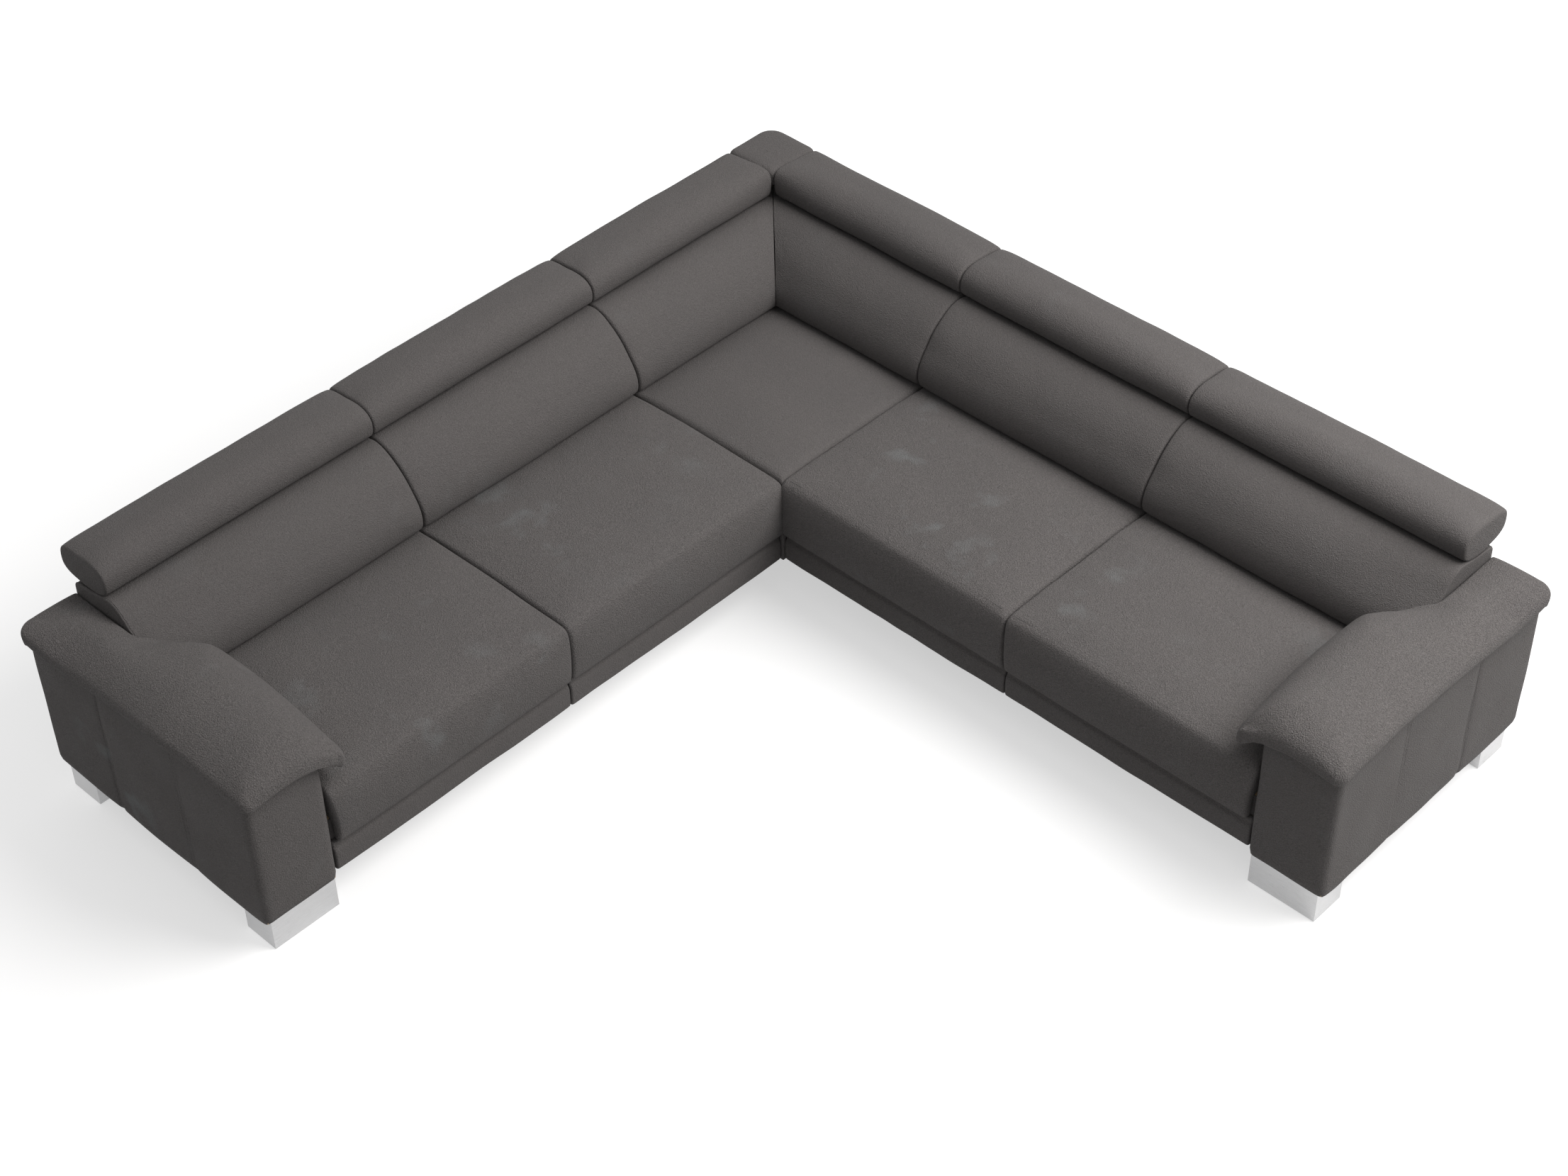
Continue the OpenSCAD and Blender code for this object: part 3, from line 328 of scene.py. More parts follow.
def add_noise(tree, where, scale, detail=3.0, rough=0.5, distortion=0.0):
    return add_node(tree, "TexNoise", {"Vector": where, "Scale": scale, "Detail": detail,
                                       "Roughness": rough, "Distortion": distortion}).outputs["Fac"]


def grey(value):
    return (value, value, value, 1.0)


def add_ramp(tree, value, *stops):
    """A ramp between two stops, each a place with a colour or a grey tone."""
    ramp = add_node(tree, "ValToRGB", {"Fac": value})
    for element, (place, tone) in zip(ramp.color_ramp.elements, stops):
        element.position = place
        element.color = tone if isinstance(tone, tuple) else grey(tone)
    return ramp.outputs["Color"]


def add_fade(tree, value, start, end, low, high):
    """A value that stays low up to start and high from end on, smooth between them."""
    fade = add_node(tree, "MapRange", {"Value": value, "From Min": start, "From Max": end,
                                       "To Min": low, "To Max": high}, interpolation_type="SMOOTHSTEP")
    return fade.outputs["Result"]


def add_mix(tree, share, one, two, kind="MIX"):
    node = add_node(tree, "Mix", {0: share, 6: one, 7: two}, data_type="RGBA", blend_type=kind)
    return node.outputs[2]


def add_math(tree, kind, one, two):
    return add_node(tree, "Math", {0: one, 1: two}, operation=kind).outputs[0]


def add_bump(tree, height, strength, distance):
    return add_node(tree, "Bump", {"Height": height, "Strength": strength,
                                   "Distance": distance}).outputs["Normal"]


def add_seen(tree, rays, seen, unseen):
    """One shader for these kinds of ray, and another one for all other light."""
    path = add_node(tree, "LightPath", {})
    direct = path.outputs[rays[0]]
    for ray in rays[1:]:
        direct = add_math(tree, "MAXIMUM", direct, path.outputs[ray])
    return add_node(tree, "MixShader", {0: direct, 1: unseen.outputs[0], 2: seen.outputs[0]}).outputs[0]


# The microfibre: warm dark grey, pebbled, a little lighter where the nap is brushed
CLOTH = (0.088, 0.081, 0.079, 1.0)
CLOTH_DEEP = (0.070, 0.065, 0.064, 1.0)
CLOTH_BRUSHED = (0.140, 0.148, 0.150, 1.0)
BROAD_SCALE = 5.0
FINE_SCALE = 310.0
PEBBLE_SCALE = 340.0
WARP_SCALE, WARP = 60.0, 0.012
SCUFF_SCALE, SCUFF_AREA_SCALE = 8.0, 2.1
PEBBLE_DEPTH = 0.0019
GRAIN_LIFT = 0.14


def microfibre(name, scuffs, grain=1.0):
    """The fabric. scuffs is the strength of its brushed patches and grain that of its pebbles."""
    mat, tree, shader = new_material(name)
    where = add_places(tree)
    broad = add_noise(tree, where, BROAD_SCALE, 4.0, 0.55)
    fine = add_noise(tree, where, FINE_SCALE, 2.0, 0.6, 0.3)
    warp = add_node(tree, "TexNoise", {"Vector": where, "Scale": WARP_SCALE}).outputs["Color"]
    bent = add_node(tree, "VectorMath", {0: warp, 1: (WARP,) * 3, 2: where}, operation="MULTIPLY_ADD")
    pebble = add_node(tree, "TexVoronoi", {"Vector": bent.outputs["Vector"], "Scale": PEBBLE_SCALE,
                                           "Smoothness": 0.6}, feature="SMOOTH_F1")
    lift = 1 + GRAIN_LIFT * (grain - 1)
    speck = add_ramp(tree, fine, (0.3, lift - 0.22 * grain), (0.7, lift + 0.20 * grain))
    tone = add_mix(tree, 1.0, add_mix(tree, broad, CLOTH_DEEP, CLOTH), speck, "MULTIPLY")
    patch = add_ramp(tree, add_noise(tree, where, SCUFF_SCALE, 3.0, 0.55, 0.2), (0.56, 0.0), (0.74, 1.0))
    area = add_ramp(tree, add_noise(tree, where, SCUFF_AREA_SCALE, 1.0), (0.50, 0.12), (0.64, 1.0))
    share = add_math(tree, "MULTIPLY", add_math(tree, "MULTIPLY", patch, area), scuffs)
    height = add_math(tree, "ADD", pebble.outputs["Distance"], fine)
    set_inputs(tree, shader, {
        "Base Color": add_mix(tree, share, tone, CLOTH_BRUSHED),
        "Roughness": add_ramp(tree, broad, (0.3, 0.78), (0.7, 0.90)),
        "Specular IOR Level": 0.25, "Sheen Weight": 0.04, "Sheen Roughness": 0.45,
        "Sheen Tint": (0.95, 0.93, 0.92, 1.0),
        "Normal": add_bump(tree, height, 0.8, PEBBLE_DEPTH * grain)})
    return mat


def plain_finish(name, one, two, scale, rough, metal=0.0, bump_depth=0.0, stretch=1):
    """A finish that wanders between two tones, with its grain stretched along z."""
    mat, tree, shader = new_material(name)
    turn = add_node(tree, "Mapping", {"Vector": add_places(tree), "Scale": (1, 1, stretch)})
    value = add_noise(tree, turn.outputs["Vector"], scale, 5.0, 0.6)
    set_inputs(tree, shader, {
        "Base Color": add_ramp(tree, value, (0.3, (*one, 1.0)), (0.7, (*two, 1.0))),
        "Roughness": add_ramp(tree, value, (0.2, rough - 0.06), (0.8, rough + 0.06)),
        "Metallic": metal})
    if bump_depth:
        set_inputs(tree, shader, {"Normal": add_bump(tree, value, 0.5, bump_depth)})
    return mat


cloth = microfibre("microfibre", 0.12)
seat_cloth = microfibre("microfibre_seat", 0.6, 1.6)
arm_cloth = microfibre("microfibre_arm", 0.8, 1.3)
pad_cloth = microfibre("microfibre_pad", 0.3, 1.9)
thread = plain_finish("thread", (0.085, 0.08, 0.078), (0.13, 0.125, 0.122), 900.0, 0.8)
dust_cloth = plain_finish("dust_cloth", (0.012, 0.012, 0.012), (0.035, 0.035, 0.035), 700.0, 0.92,
                          bump_depth=0.0004)
FINISH = {
    "timber": plain_finish("timber", (0.50, 0.36, 0.20), (0.66, 0.50, 0.31), 9.0, 0.62, 0.0, 0.0006, 14),
    "steel": plain_finish("steel", (0.42, 0.43, 0.45), (0.56, 0.57, 0.58), 40.0, 0.38, 1.0, 0.0, 12),
    "chrome": plain_finish("leg_metal", (0.49, 0.49, 0.495), (0.56, 0.56, 0.565), 30.0, 0.30, 1.0,
                           0.00005, 24),
    "black_plastic": plain_finish("black_plastic", (0.012, 0.012, 0.013), (0.022, 0.022, 0.023), 300.0,
                                  0.55, 0.0, 0.0002),
    "webbing": plain_finish("webbing", (0.52, 0.49, 0.42), (0.68, 0.65, 0.57), 420.0, 0.85, 0.0, 0.0006),
    "dust_cloth": dust_cloth,
    "upholstery": cloth,
}


# The cloth simulation. Each soft piece waits here with the weight that holds each of its vertices,
# the pressure in it and its greatest move.
soft = []
SIM_FRAMES = 14
SIM_SETTINGS = {"quality": 4, "mass": 0.4, "tension_stiffness": 18, "compression_stiffness": 18,
                "shear_stiffness": 9, "bending_stiffness": 2.0, "air_damping": 4, "use_pressure": True,
                "vertex_group_mass": "held"}


def keep_soft(piece, held, pressure=2.0, cap=0.006):
    """Hand a piece to the simulation. held is a weight for each vertex, 1 where it stays."""
    soft.append((piece, np.asarray(held, float), pressure, cap))


def simulate():
    """Swell every waiting piece with cloth under pressure, and keep the result in its mesh."""
    scene = bpy.context.scene
    for piece, held, pressure, _ in soft:
        group = piece.vertex_groups.new(name="held")
        for weight in np.unique(np.round(held, 1)):
            if weight > 0:
                at = np.nonzero(np.abs(held - weight) < 0.05)[0]
                group.add([int(i) for i in at], float(weight), "REPLACE")
        mod = piece.modifiers.new("cloth", "CLOTH")
        for key, value in SIM_SETTINGS.items():
            setattr(mod.settings, key, value)
        mod.settings.uniform_pressure_force = pressure
        mod.settings.effector_weights.gravity = 0.0
        mod.collision_settings.use_collision = False
    for number in range(1, SIM_FRAMES + 1):
        scene.frame_set(number)
    graph = bpy.context.evaluated_depsgraph_get()
    for piece, _, _, cap in soft:
        start = rows_of(piece)
        move = rows_of(piece.evaluated_get(graph)) - start
        far = np.linalg.norm(move, axis=1)
        limit = cap * np.tanh(far / cap) / np.maximum(far, 1e-9)
        piece.modifiers.clear()
        piece.vertex_groups.clear()
        set_coords(piece, start + move * limit[:, None])
    scene.frame_set(1)


def free(held, grid, low, high):
    """Let these columns of a piece go, but for its ends."""
    held[grid[5:-5, low:high]] = 0.0
    held[grid[4, low:high]] = held[grid[-5, low:high]] = 0.6


# Dressed pieces with the seeds of their small waves
fabric_pieces = []


def dress(piece, nodes=(), seed=None, body=BODY):
    """Say what a piece rides on and stands for. With a seed it gets small waves."""
    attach(piece, body)
    if nodes:
        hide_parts(*nodes)
    if seed is not None:
        fabric_pieces.append((piece, seed))


# Seats

SEAT_Z = 0.4303
SEAT_UNDER = 0.3068
SEAT_LIP_D = 0.8985
SEAT_TOP = mm((250, 413), (262, 421.5), (300, 424), (350, 424.3), (372, 426.2), (420, 429),
              (500, 430.3), (640, 430.3), (780, 430.3), (880, 430.3), (912, 429), (923.5, 424.5))
SEAT_FRONT = mm((923.5, 424.5), (932.5, 411), (938.5, 385), (940.5, 345), (939.5, 304), (935, 260),
                (927, 232))
SEAT_LOW = [(0.250, 0.3300), (0.262, 0.3100), (0.300, SEAT_UNDER), (0.640, SEAT_UNDER),
            (0.880, SEAT_UNDER), (SEAT_LIP_D, 0.3000), (SEAT_LIP_D, 0.2600), (0.9020, 0.2320)]
SEAT_CROWN = 0.020
CROWN_FROM = 0.35
SEAT_ROUND = 0.011
SEAT_PINCH, SEAT_PINCH_LENGTH = 0.0035, 0.07
FRONT_BOW, FRONT_PINCH = 0.002, 0.004
SEAT_PRESSURE = 2.2
STEP = 0.0135
# How evenly a cushion is raised along its length: the power of slow()
FLATNESS = 0.42
SEATS = {"inner": (WING_START, WING_MID), "outer": (WING_MID, WING_END)}
# How far the outer seat's front draws back from the arm, below a height, and over what length
SLIT, SLIT_BELOW, SLIT_LENGTH = 0.012, 0.415, 0.12


def seat(name, wing, a0, a1, seed, slit):
    top = smooth_line(SEAT_TOP, 46)
    front = smooth_line(SEAT_FRONT, 16)
    upper = np.vstack([top, front[1:]])
    ring = closed(upper, even(np.array(SEAT_LOW), len(upper)))
    out = outward(ring)
    seam, n_upper = len(top) - 1, len(upper)
    on_top = np.arange(len(ring)) <= seam
    share_d = np.clip((ring[:, 0] - CROWN_FROM) / (SEAT_REACH - CROWN_FROM), 0, 1)
    rise = np.where(on_top, slow(share_d, 0.55), 0.0)
    front_share = np.zeros(len(ring))
    front_share[seam:n_upper] = slow(np.linspace(0, 1, len(front)), 0.7)
    width = a1 - a0
    rings = []
    for e in stations(width, SEAT_ROUND, STEP):
        room = min(e, width - e)
        middle = slow(e / width, FLATNESS)
        pinch = near_end(room, SEAT_PINCH_LENGTH)
        r = ring - out * edge_inset(room, SEAT_ROUND)
        r[:, 1] += SEAT_CROWN * rise * middle - SEAT_PINCH * pinch * on_top
        r[:, 0] += front_share * (FRONT_BOW * middle - FRONT_PINCH * pinch)
        low = smoothstep((SLIT_BELOW - r[:, 1]) / 0.13) * (r[:, 0] > 0.80)
        rings.append(placed(a0 + e - slit * low * max(0.0, 1 - (width - e) / SLIT_LENGTH), r))
    piece = loft(name, wing, rings, seat_cloth)
    held = np.ones(len(piece.data.vertices))
    grid = grid_of(rings)
    free(held, grid, 6, n_upper - 2)
    held[grid[5:-5, seam]] = 1.0
    keep_soft(piece, held, SEAT_PRESSURE)
    dress(piece, [name], seed)
    return piece, grid, seam


seats = {}
for w, wing in enumerate(WINGS):
    for k, (place, (a0, a1)) in enumerate(SEATS.items()):
        name = f"{wing}_{place}_seat_cushion"
        seats[name] = seat(name, wing, a0 + GAP, a1 - GAP, 10 * w + k + 1, SLIT * (place == "outer"))


# Corner seat: square, crowned, hemmed in by its four neighbours

CORNER_TO = WING_START - GAP
CORNER_FROM = 0.245
CORNER_ROUND = 0.016
CORNER_PINCH = 0.004
CORNER_CROWN_FROM = 0.355


def corner_height(a, d):
    """Height of the corner seat's top at a place."""
    def crown(x):
        return slow(np.clip((x - CORNER_CROWN_FROM) / (CORNER_TO - CORNER_CROWN_FROM), 0, 1), 0.5)

    def drop(x):
        behind = 0.006 * (1 - smoothstep((x - 0.36) / 0.06))
        behind += 0.012 * (1 - smoothstep((x - CORNER_FROM) / 0.02))
        edge = CORNER_TO - x
        pinch = CORNER_PINCH * np.clip(1 - edge / SEAT_PINCH_LENGTH, 0, 1) ** 2
        return behind + pinch + edge_inset(edge, CORNER_ROUND)

    return SEAT_Z + SEAT_CROWN * crown(a) * crown(d) - np.maximum(drop(a), drop(d))


def corner_seat(name):
    line = np.concatenate([np.linspace(CORNER_FROM, CORNER_TO - CORNER_ROUND, 48)[:-1],
                           CORNER_TO - rounding(CORNER_ROUND)[::-1]])
    under = np.full(len(line), SEAT_UNDER)
    rings = [placed(a, closed(np.column_stack([line, corner_height(a, line)]),
                              np.column_stack([line, under]))) for a in line]
    piece = loft(name, "back_wing", rings, cloth)
    held = np.ones(len(piece.data.vertices))
    held[grid_of(rings)[6:-5, 6:len(line) - 5]] = 0.0
    keep_soft(piece, held, SEAT_PRESSURE)
    dress(piece, [name], 5)


corner_seat("corner_seat_cushion")


# Back cushions

BACK_FRONT = mm((326, 425.2), (344, 432), (358.5, 450), (362, 484), (351, 521), (326, 560),
                (296, 600), (258, 632), (220, 653), (188, 659), (165, 656))
BACK_REAR = mm((99, 425.2), (93.2, 432), (93.2, 620), (96, 636), (120, 644), (145, 650))
# The same front at the outer end, beside the arm, where it leans back more
BACK_LAST = mm((326, 425.2), (344, 432), (358.5, 450), (361, 484), (345, 521), (308, 560),
               (266, 600), (234, 634), (208, 653), (185, 659), (165, 656))
LEAN_LENGTH = 0.45
BACK_SWELL = 0.008
BACK_PINCH = 0.005
PINCH_LENGTH = 0.05
BACK_ROUND = 0.009
BACK_COUNT = 44
END_T = 0.0058


def back_cushion(name, wing, a0, a1, seed, mitred):
    half = BACK_COUNT
    upper = smooth_line(BACK_FRONT, half)
    lower = even(BACK_REAR, len(upper))
    ring = closed(upper, lower)
    lean = closed(smooth_line(BACK_LAST, half), lower) - ring
    out = outward(ring)
    swell = np.concatenate([slow(np.linspace(0, 1, half), 0.6), np.zeros(half)])
    width = a1 - a0
    last = a1 > WING_END
    places = stations(width, BACK_ROUND, STEP)
    if last:
        places = np.insert(places, -1, width - 0.0003)
    rings = []
    for e in places:
        to_end = width - e
        room = min(BACK_ROUND if mitred else e, BACK_ROUND if last else to_end)
        middle = slow(0.5 + 0.5 * e / width if mitred else e / width, FLATNESS)
        pinch = 0.0 if mitred else near_end(e, PINCH_LENGTH)
        pinch += 0.0 if last else near_end(to_end, PINCH_LENGTH)
        r = ring - out * edge_inset(room, BACK_ROUND)
        if last:
            r += lean * smoothstep(1 - to_end / LEAN_LENGTH)
        r[:, 0] += swell * (BACK_SWELL * middle - BACK_PINCH * pinch)
        rings.append(placed(mix(r[:, 0] + GAP, a1, e / width) if mitred else a0 + e, r))
    piece = loft(name, wing, rings, cloth)
    held = np.ones(len(piece.data.vertices))
    free(held, grid_of(rings), 3, half - 4)
    keep_soft(piece, held)
    dress(piece, [name], seed)


BACK_SPANS = {"corner": (0.0932, WING_START - GAP), "inner": (WING_START + GAP, WING_MID - GAP),
              "outer": (WING_MID + GAP, BACK_END - END_T - 0.0001)}
for w, wing in enumerate(WINGS):
    for k, (place, (a0, a1)) in enumerate(BACK_SPANS.items()):
        back_cushion(f"{wing}_{place}_back_cushion", wing, a0, a1, 20 + 10 * w + k, place == "corner")


# Headrests

HEAD_TOP = mm((-8.5, 700), (-8, 716), (-2, 733), (16, 743), (45, 748), (80, 750), (115, 753),
              (142, 751), (164, 743), (179, 729), (185, 713), (185, 700))
HEAD_LOW = mm((-8.5, 698), (-6, 682), (2, 670), (18, 660), (45, 654), (90, 649), (130, 650),
              (160, 659), (178, 673), (184, 688), (185, 698))
HEAD_TOP_CORNER = mm((-8.5, 700), (-8.5, 720), (-4, 740), (12, 752), (45, 757.5), (80, 760.5),
                     (115, 764), (148, 765.5), (170, 762), (183, 751), (187.5, 730), (186, 700))
HEAD_CROWN = 0.016
HEAD_PINCH = 0.004
HEAD_ROUND = 0.007
HEAD_STEP = 0.0125
HEAD_COUNT = 34
HEAD_PRESSURE = 2.4
# Over this length the corner headrests' extra fullness fades out
FULLER_LENGTH = 0.4
FLAT_CAPS = (0.001, 0.001)


def headrest(name, wing, a0, a1, seed, at_corner):
    half = HEAD_COUNT
    upper, fuller, lower = (smooth_line(line, half) for line in (HEAD_TOP, HEAD_TOP_CORNER, HEAD_LOW))
    ring = closed(upper, lower)
    fuller = closed(fuller, lower) - ring
    out = outward(ring)
    rise = np.concatenate([slow(np.linspace(0, 1, half), 0.5), np.zeros(half)])
    width = a1 - a0
    rings = []
    for e in stations(width, HEAD_ROUND, HEAD_STEP):
        room = min(e, width - e)
        middle = slow(e / width, FLATNESS)
        inset = edge_inset(room, HEAD_ROUND)
        if at_corner and e < FULLER_LENGTH:
            r = ring - out * inset * 0.35 + fuller * (1 - middle) * (1 - e / FULLER_LENGTH)
        else:
            r = ring - out * inset
        r[:, 1] += rise * (HEAD_CROWN * middle - HEAD_PINCH * near_end(room, PINCH_LENGTH))
        rings.append(placed(a0 + e, r))
    piece = loft(name, wing, rings, cloth, FLAT_CAPS)
    grid = grid_of(rings)
    held = np.ones(len(piece.data.vertices))
    held[grid[5:-5]] = 0.0
    held[grid[:, half + 6:-4]] = 1.0
    keep_soft(piece, held, HEAD_PRESSURE)
    dress(piece, [name], seed, f"{name}_body")


HEAD_GAP = 0.0009
HEAD_SPANS = {"corner": (0.1908, WING_START - HEAD_GAP),
              "inner": (WING_START + HEAD_GAP, WING_MID - HEAD_GAP),
              "outer": (WING_MID + HEAD_GAP, BACK_END - HEAD_GAP)}
for w, wing in enumerate(WINGS):
    for k, (place, (a0, a1)) in enumerate(HEAD_SPANS.items()):
        headrest(f"{wing}_{place}_headrest", wing, a0, a1, 40 + 10 * w + k, place == "corner")


# Corner block

BLOCK_TURN = 0.046
BLOCK_CUT = 0.012
# Where each ring of the block starts and ends along the wings, and its height
BLOCK_LEVELS = mm((1, 86.5, 629), (-2, 88.5, 640), (-2, 90.5, 662), (-2, 140, 680), (-2, 188, 698),
                  (-2, 188, 715), (-2, 188, 735), (0, 186, 744.5), (6, 181, 750.5),
                  (16, 170, 754.5), (40, 146, 757), (70, 116, 758))


def corner_block(name):
    """Rounded square rings, from the corner post up to a crowned top."""
    def plan(low, high, z):
        r = min(BLOCK_TURN, (high - low) / 2)
        s = min(BLOCK_CUT, (high - low) / 4)
        t = s * 0.3
        angles = np.radians(np.linspace(0, 90, 9))
        turn = low + r - r * np.column_stack([np.sin(angles), np.cos(angles)])
        rest = [(low, high - s), (low + t, high - t), (low + s, high), (high - s, high),
                (high - t, high - t), (high, high - s), (high, low + s), (high - t, low + t),
                (high - s, low)]
        line = even(np.vstack([turn, rest, turn[:1]]), 73)[:-1]
        return np.column_stack([line, np.full(len(line), z)])
    rings = [plan(*level) for level in BLOCK_LEVELS]
    dress(loft(name, "back_wing", rings, cloth, cap_way=UP_AND_DOWN), [name], 70)


corner_block("corner_block")


# Arms: an upholstered sleeve round each frame, in three panels on its outer side

ARM_TOP = 0.5478
ARM_CORNER = 0.016
ARM_SEAMS = (0.32, 0.63)
ARM_EDGES = (REAR_FACE, *ARM_SEAMS, SEAT_REACH)
ARM_AROUND = 190
ARM_ROWS = 42
# A place of the plan is on a side when it is this near to it
ON_SIDE = 0.004
COVER_T = 0.0045
PANEL_SWELL = 0.0035
FRONT_SWELLS, REAR_SWELLS = 2.0, 1.7
SEAM_DEPTH = 0.0034
SEAM_REACH = 0.0032
STITCH_GAP = 0.007
HEM, HEM_SAG, HEM_CORNER = 0.1155, 0.008, 0.004
# The cover's edges curl in over this share of its height, the upper one more under a high lip
CURL_SHARE, CURL = 0.05, 0.004
TUCK_LEAST, TUCK_MOST = 0.0045, 0.0105
UNDER_LIP = 0.012
FRONT_ARCH = 0.010
NOTCH_A = BACK_END + 0.002
NOTCH_D = 0.3665
NOTCH_Z = 0.4145

# The pad's outer edge by depth: how far it stands out of the arm, and its height over the arm
PAD_OUT = mm((70, 34), (130, 33), (240, 25), (430, 19), (530, 18), (600, 21), (700, 18), (800, 21),
             (870, 19), (950, 20))
OUTER_LIP = mm((70, 46), (120, 32), (240, 14), (430, 19), (600, 27), (750, 30), (870, 22),
               (950, 12))


def front_arch(a):
    """How far the pad's edge rises over the middle of the arm's front."""
    return FRONT_ARCH * np.sin(math.pi * np.clip((a - ARM_IN) / (ARM_OUT - ARM_IN), 0, 1))


def cover_rise(a, d):
    """How far the cover runs up under the pad's edge, at places along its outline."""
    lip = looked_up(OUTER_LIP, d) - UNDER_LIP
    outer = np.maximum(0.0, lip) * smoothstep((d - 0.05) / 0.06) * (a > ARM_OUT - ARM_CORNER)
    front = np.maximum(0.0, lip + front_arch(a)) * smoothstep((a - ARM_IN - 0.02) / 0.08)
    rear = 0.010 * (d < REAR_FACE + 0.006)
    return np.where(d > SEAT_REACH - ARM_CORNER, front, np.maximum(outer, rear))


def arm_outline():
    """The sleeve's plan, from its inner front corner round the front, outer side and rear."""
    r = ARM_CORNER
    line = []
    for a, d, start in ((ARM_IN + r, SEAT_REACH - r, 180), (ARM_OUT - r, SEAT_REACH - r, 90),
                        (ARM_OUT - r, REAR_FACE + r, 0), (ARM_IN + r, REAR_FACE + r, -90)):
        line += [(a + r * math.cos(t), d + r * math.sin(t))
                 for t in np.radians(np.linspace(start, start - 90, 7))]
    plan = even(np.array(line + line[:1]), ARM_AROUND + 1)[:-1]
    # Two of its points sit right at the notch for the back
    for axis, edge, side in ((0, NOTCH_A, 1), (1, NOTCH_D, 0)):
        on_side = plan[:, side] < (REAR_FACE if side else ARM_IN) + 0.002
        plan[np.argmin(np.abs(plan[:, axis] - edge) + 9.0 * ~on_side), axis] = edge
    return plan


def bulge(share):
    """How far a panel's swelling is on, by height."""
    return slow(np.clip(share * 1.02, 0, 1), 0.5)


def arm_cover(name, wing, seed):
    plan = arm_outline()
    out = outward(plan)
    n = len(plan)
    a, d = plan[:, 0], plan[:, 1]
    on_outer, on_front = a > ARM_OUT - ON_SIDE, d > SEAT_REACH - ON_SIDE
    on_rear = d < REAR_FACE + ON_SIDE
    panel = np.zeros(n)
    for low, high in zip(ARM_EDGES[:-1], ARM_EDGES[1:]):
        inside = (d >= low) & (d <= high) & on_outer
        panel[inside] = slow((d[inside] - low) / (high - low), 0.5)
    across = (a - ARM_IN) / (ARM_OUT - ARM_IN)
    panel[on_front] = slow(across[on_front], 0.5)
    panel[on_rear] = REAR_SWELLS * slow(across[on_rear], 0.3)
    groove = sum(np.exp(-((d - s) / SEAM_REACH) ** 2) for s in ARM_SEAMS) * on_outer
    hem = HEM - HEM_SAG * panel * on_outer + HEM_CORNER * np.exp(-((d - SEAT_REACH) / 0.03) ** 2)
    ceiling = ARM_TOP + cover_rise(a, d)
    tuck = np.clip(TUCK_LEAST + 0.3 * (ceiling - ARM_TOP), TUCK_LEAST, TUCK_MOST) * (on_outer | on_front)
    rings = []
    for share in np.linspace(0, 1, ARM_ROWS):
        swell = PANEL_SWELL * panel * bulge(share) * np.where(on_front, FRONT_SWELLS, 1.0)
        curl = CURL * max(0.0, 1 - share / CURL_SHARE) + tuck * near_end(1 - share, CURL_SHARE)
        row = plan + out * (swell - SEAM_DEPTH * groove - curl)[:, None]
        rings.append(np.column_stack([row, mix(hem, ceiling, share)]))
    rings = np.array(rings)
    in_notch = (a < NOTCH_A) & (d < NOTCH_D)
    cut = (in_notch | np.roll(in_notch, -1)) & (rings[..., 2] > NOTCH_Z)
    faces = []
    for i in range(ARM_ROWS - 1):
        faces += [face for j, face in enumerate(hoop(i * n, (i + 1) * n, n)) if not cut[i, j]]
    places = on_wing(wing, rings.reshape(-1, 3))
    places += waves(places, seed, 0.16)[:, None] * np.array([0.0008, 0.0008, 0.0])
    piece = make_mesh(name, places, faces, arm_cloth)
    face_outward(piece, places.mean(axis=0))
    skin = piece.modifiers.new("skin", "SOLIDIFY")
    skin.thickness = COVER_T
    skin.offset = -1.0
    apply_all(piece)
    dress(piece, [name])


def arm_seam_rows(wing):
    """The lines of stitches on both sides of each seam of an arm's cover."""
    lines = []
    for d in (seam + side for seam in ARM_SEAMS for side in (-STITCH_GAP, STITCH_GAP)):
        low, high = max(s for s in ARM_EDGES if s < d), min(s for s in ARM_EDGES if s > d)
        z = np.linspace(HEM + 0.012, ARM_TOP - 0.004, 60)
        swell = PANEL_SWELL * slow((d - low) / (high - low), 0.5) * bulge((z - HEM) / (ARM_TOP - HEM))
        depth = SEAM_DEPTH * math.exp(-(STITCH_GAP / SEAM_REACH) ** 2)
        lines.append(on_wing(wing, np.column_stack([ARM_OUT + swell - depth, np.full(60, d), z])))
    return lines


for w, wing in enumerate(WINGS):
    arm_cover(f"{wing}_arm_cover", wing, 80 + w)


# Arm pads: narrow beside the back, then spreading in over the seat, with a drooping lip

PAD_UNDER = 0.5484
PAD_T = 0.095
PAD_REAR = 0.038
PAD_FRONT = 0.956
PAD_HANG = 0.069
PAD_TIP = ARM_IN - PAD_HANG
PAD_BOW = 0.024
PAD_CLEAR = BACK_END + 0.0014
PAD_TURN_START = 0.3745
PAD_TURN = 0.085
PAD_BEAD = 0.011
PAD_ACROSS = 46
PAD_CAP = 0.003
# Radius and power of the pad's roundings, those of the sides beside the back and then ahead of it
ROLL_INNER = (0.10, 1.5), (0.19, 1.8)
ROLL_OUTER = (0.080, 1.9), (0.150, 1.4)
ROLL_REAR = (0.055, 2.0)
ROLL_FRONT = (0.13, 1.7)
# Radii of its corners in plan: at the inner front, the outer front and the outer rear
PAD_CORNERS = (0.034, 0.032, 0.060)

# Heights over the arm's top: the lip's along the seat and the back, by place across, and the
# underside of the lip that hangs over the seat
INNER_LIP = [(PAD_TIP, -0.051), (PAD_TIP + 0.013, -0.022), (PAD_TIP + 0.076, 0.016),
             (PAD_TIP + 0.113, 0.036), (PAD_CLEAR, 0.044)]
LIP_UNDER = [(0, 0), (0.22, -0.020), (0.58, -0.044), (0.88, -0.056), (1, -0.060)]


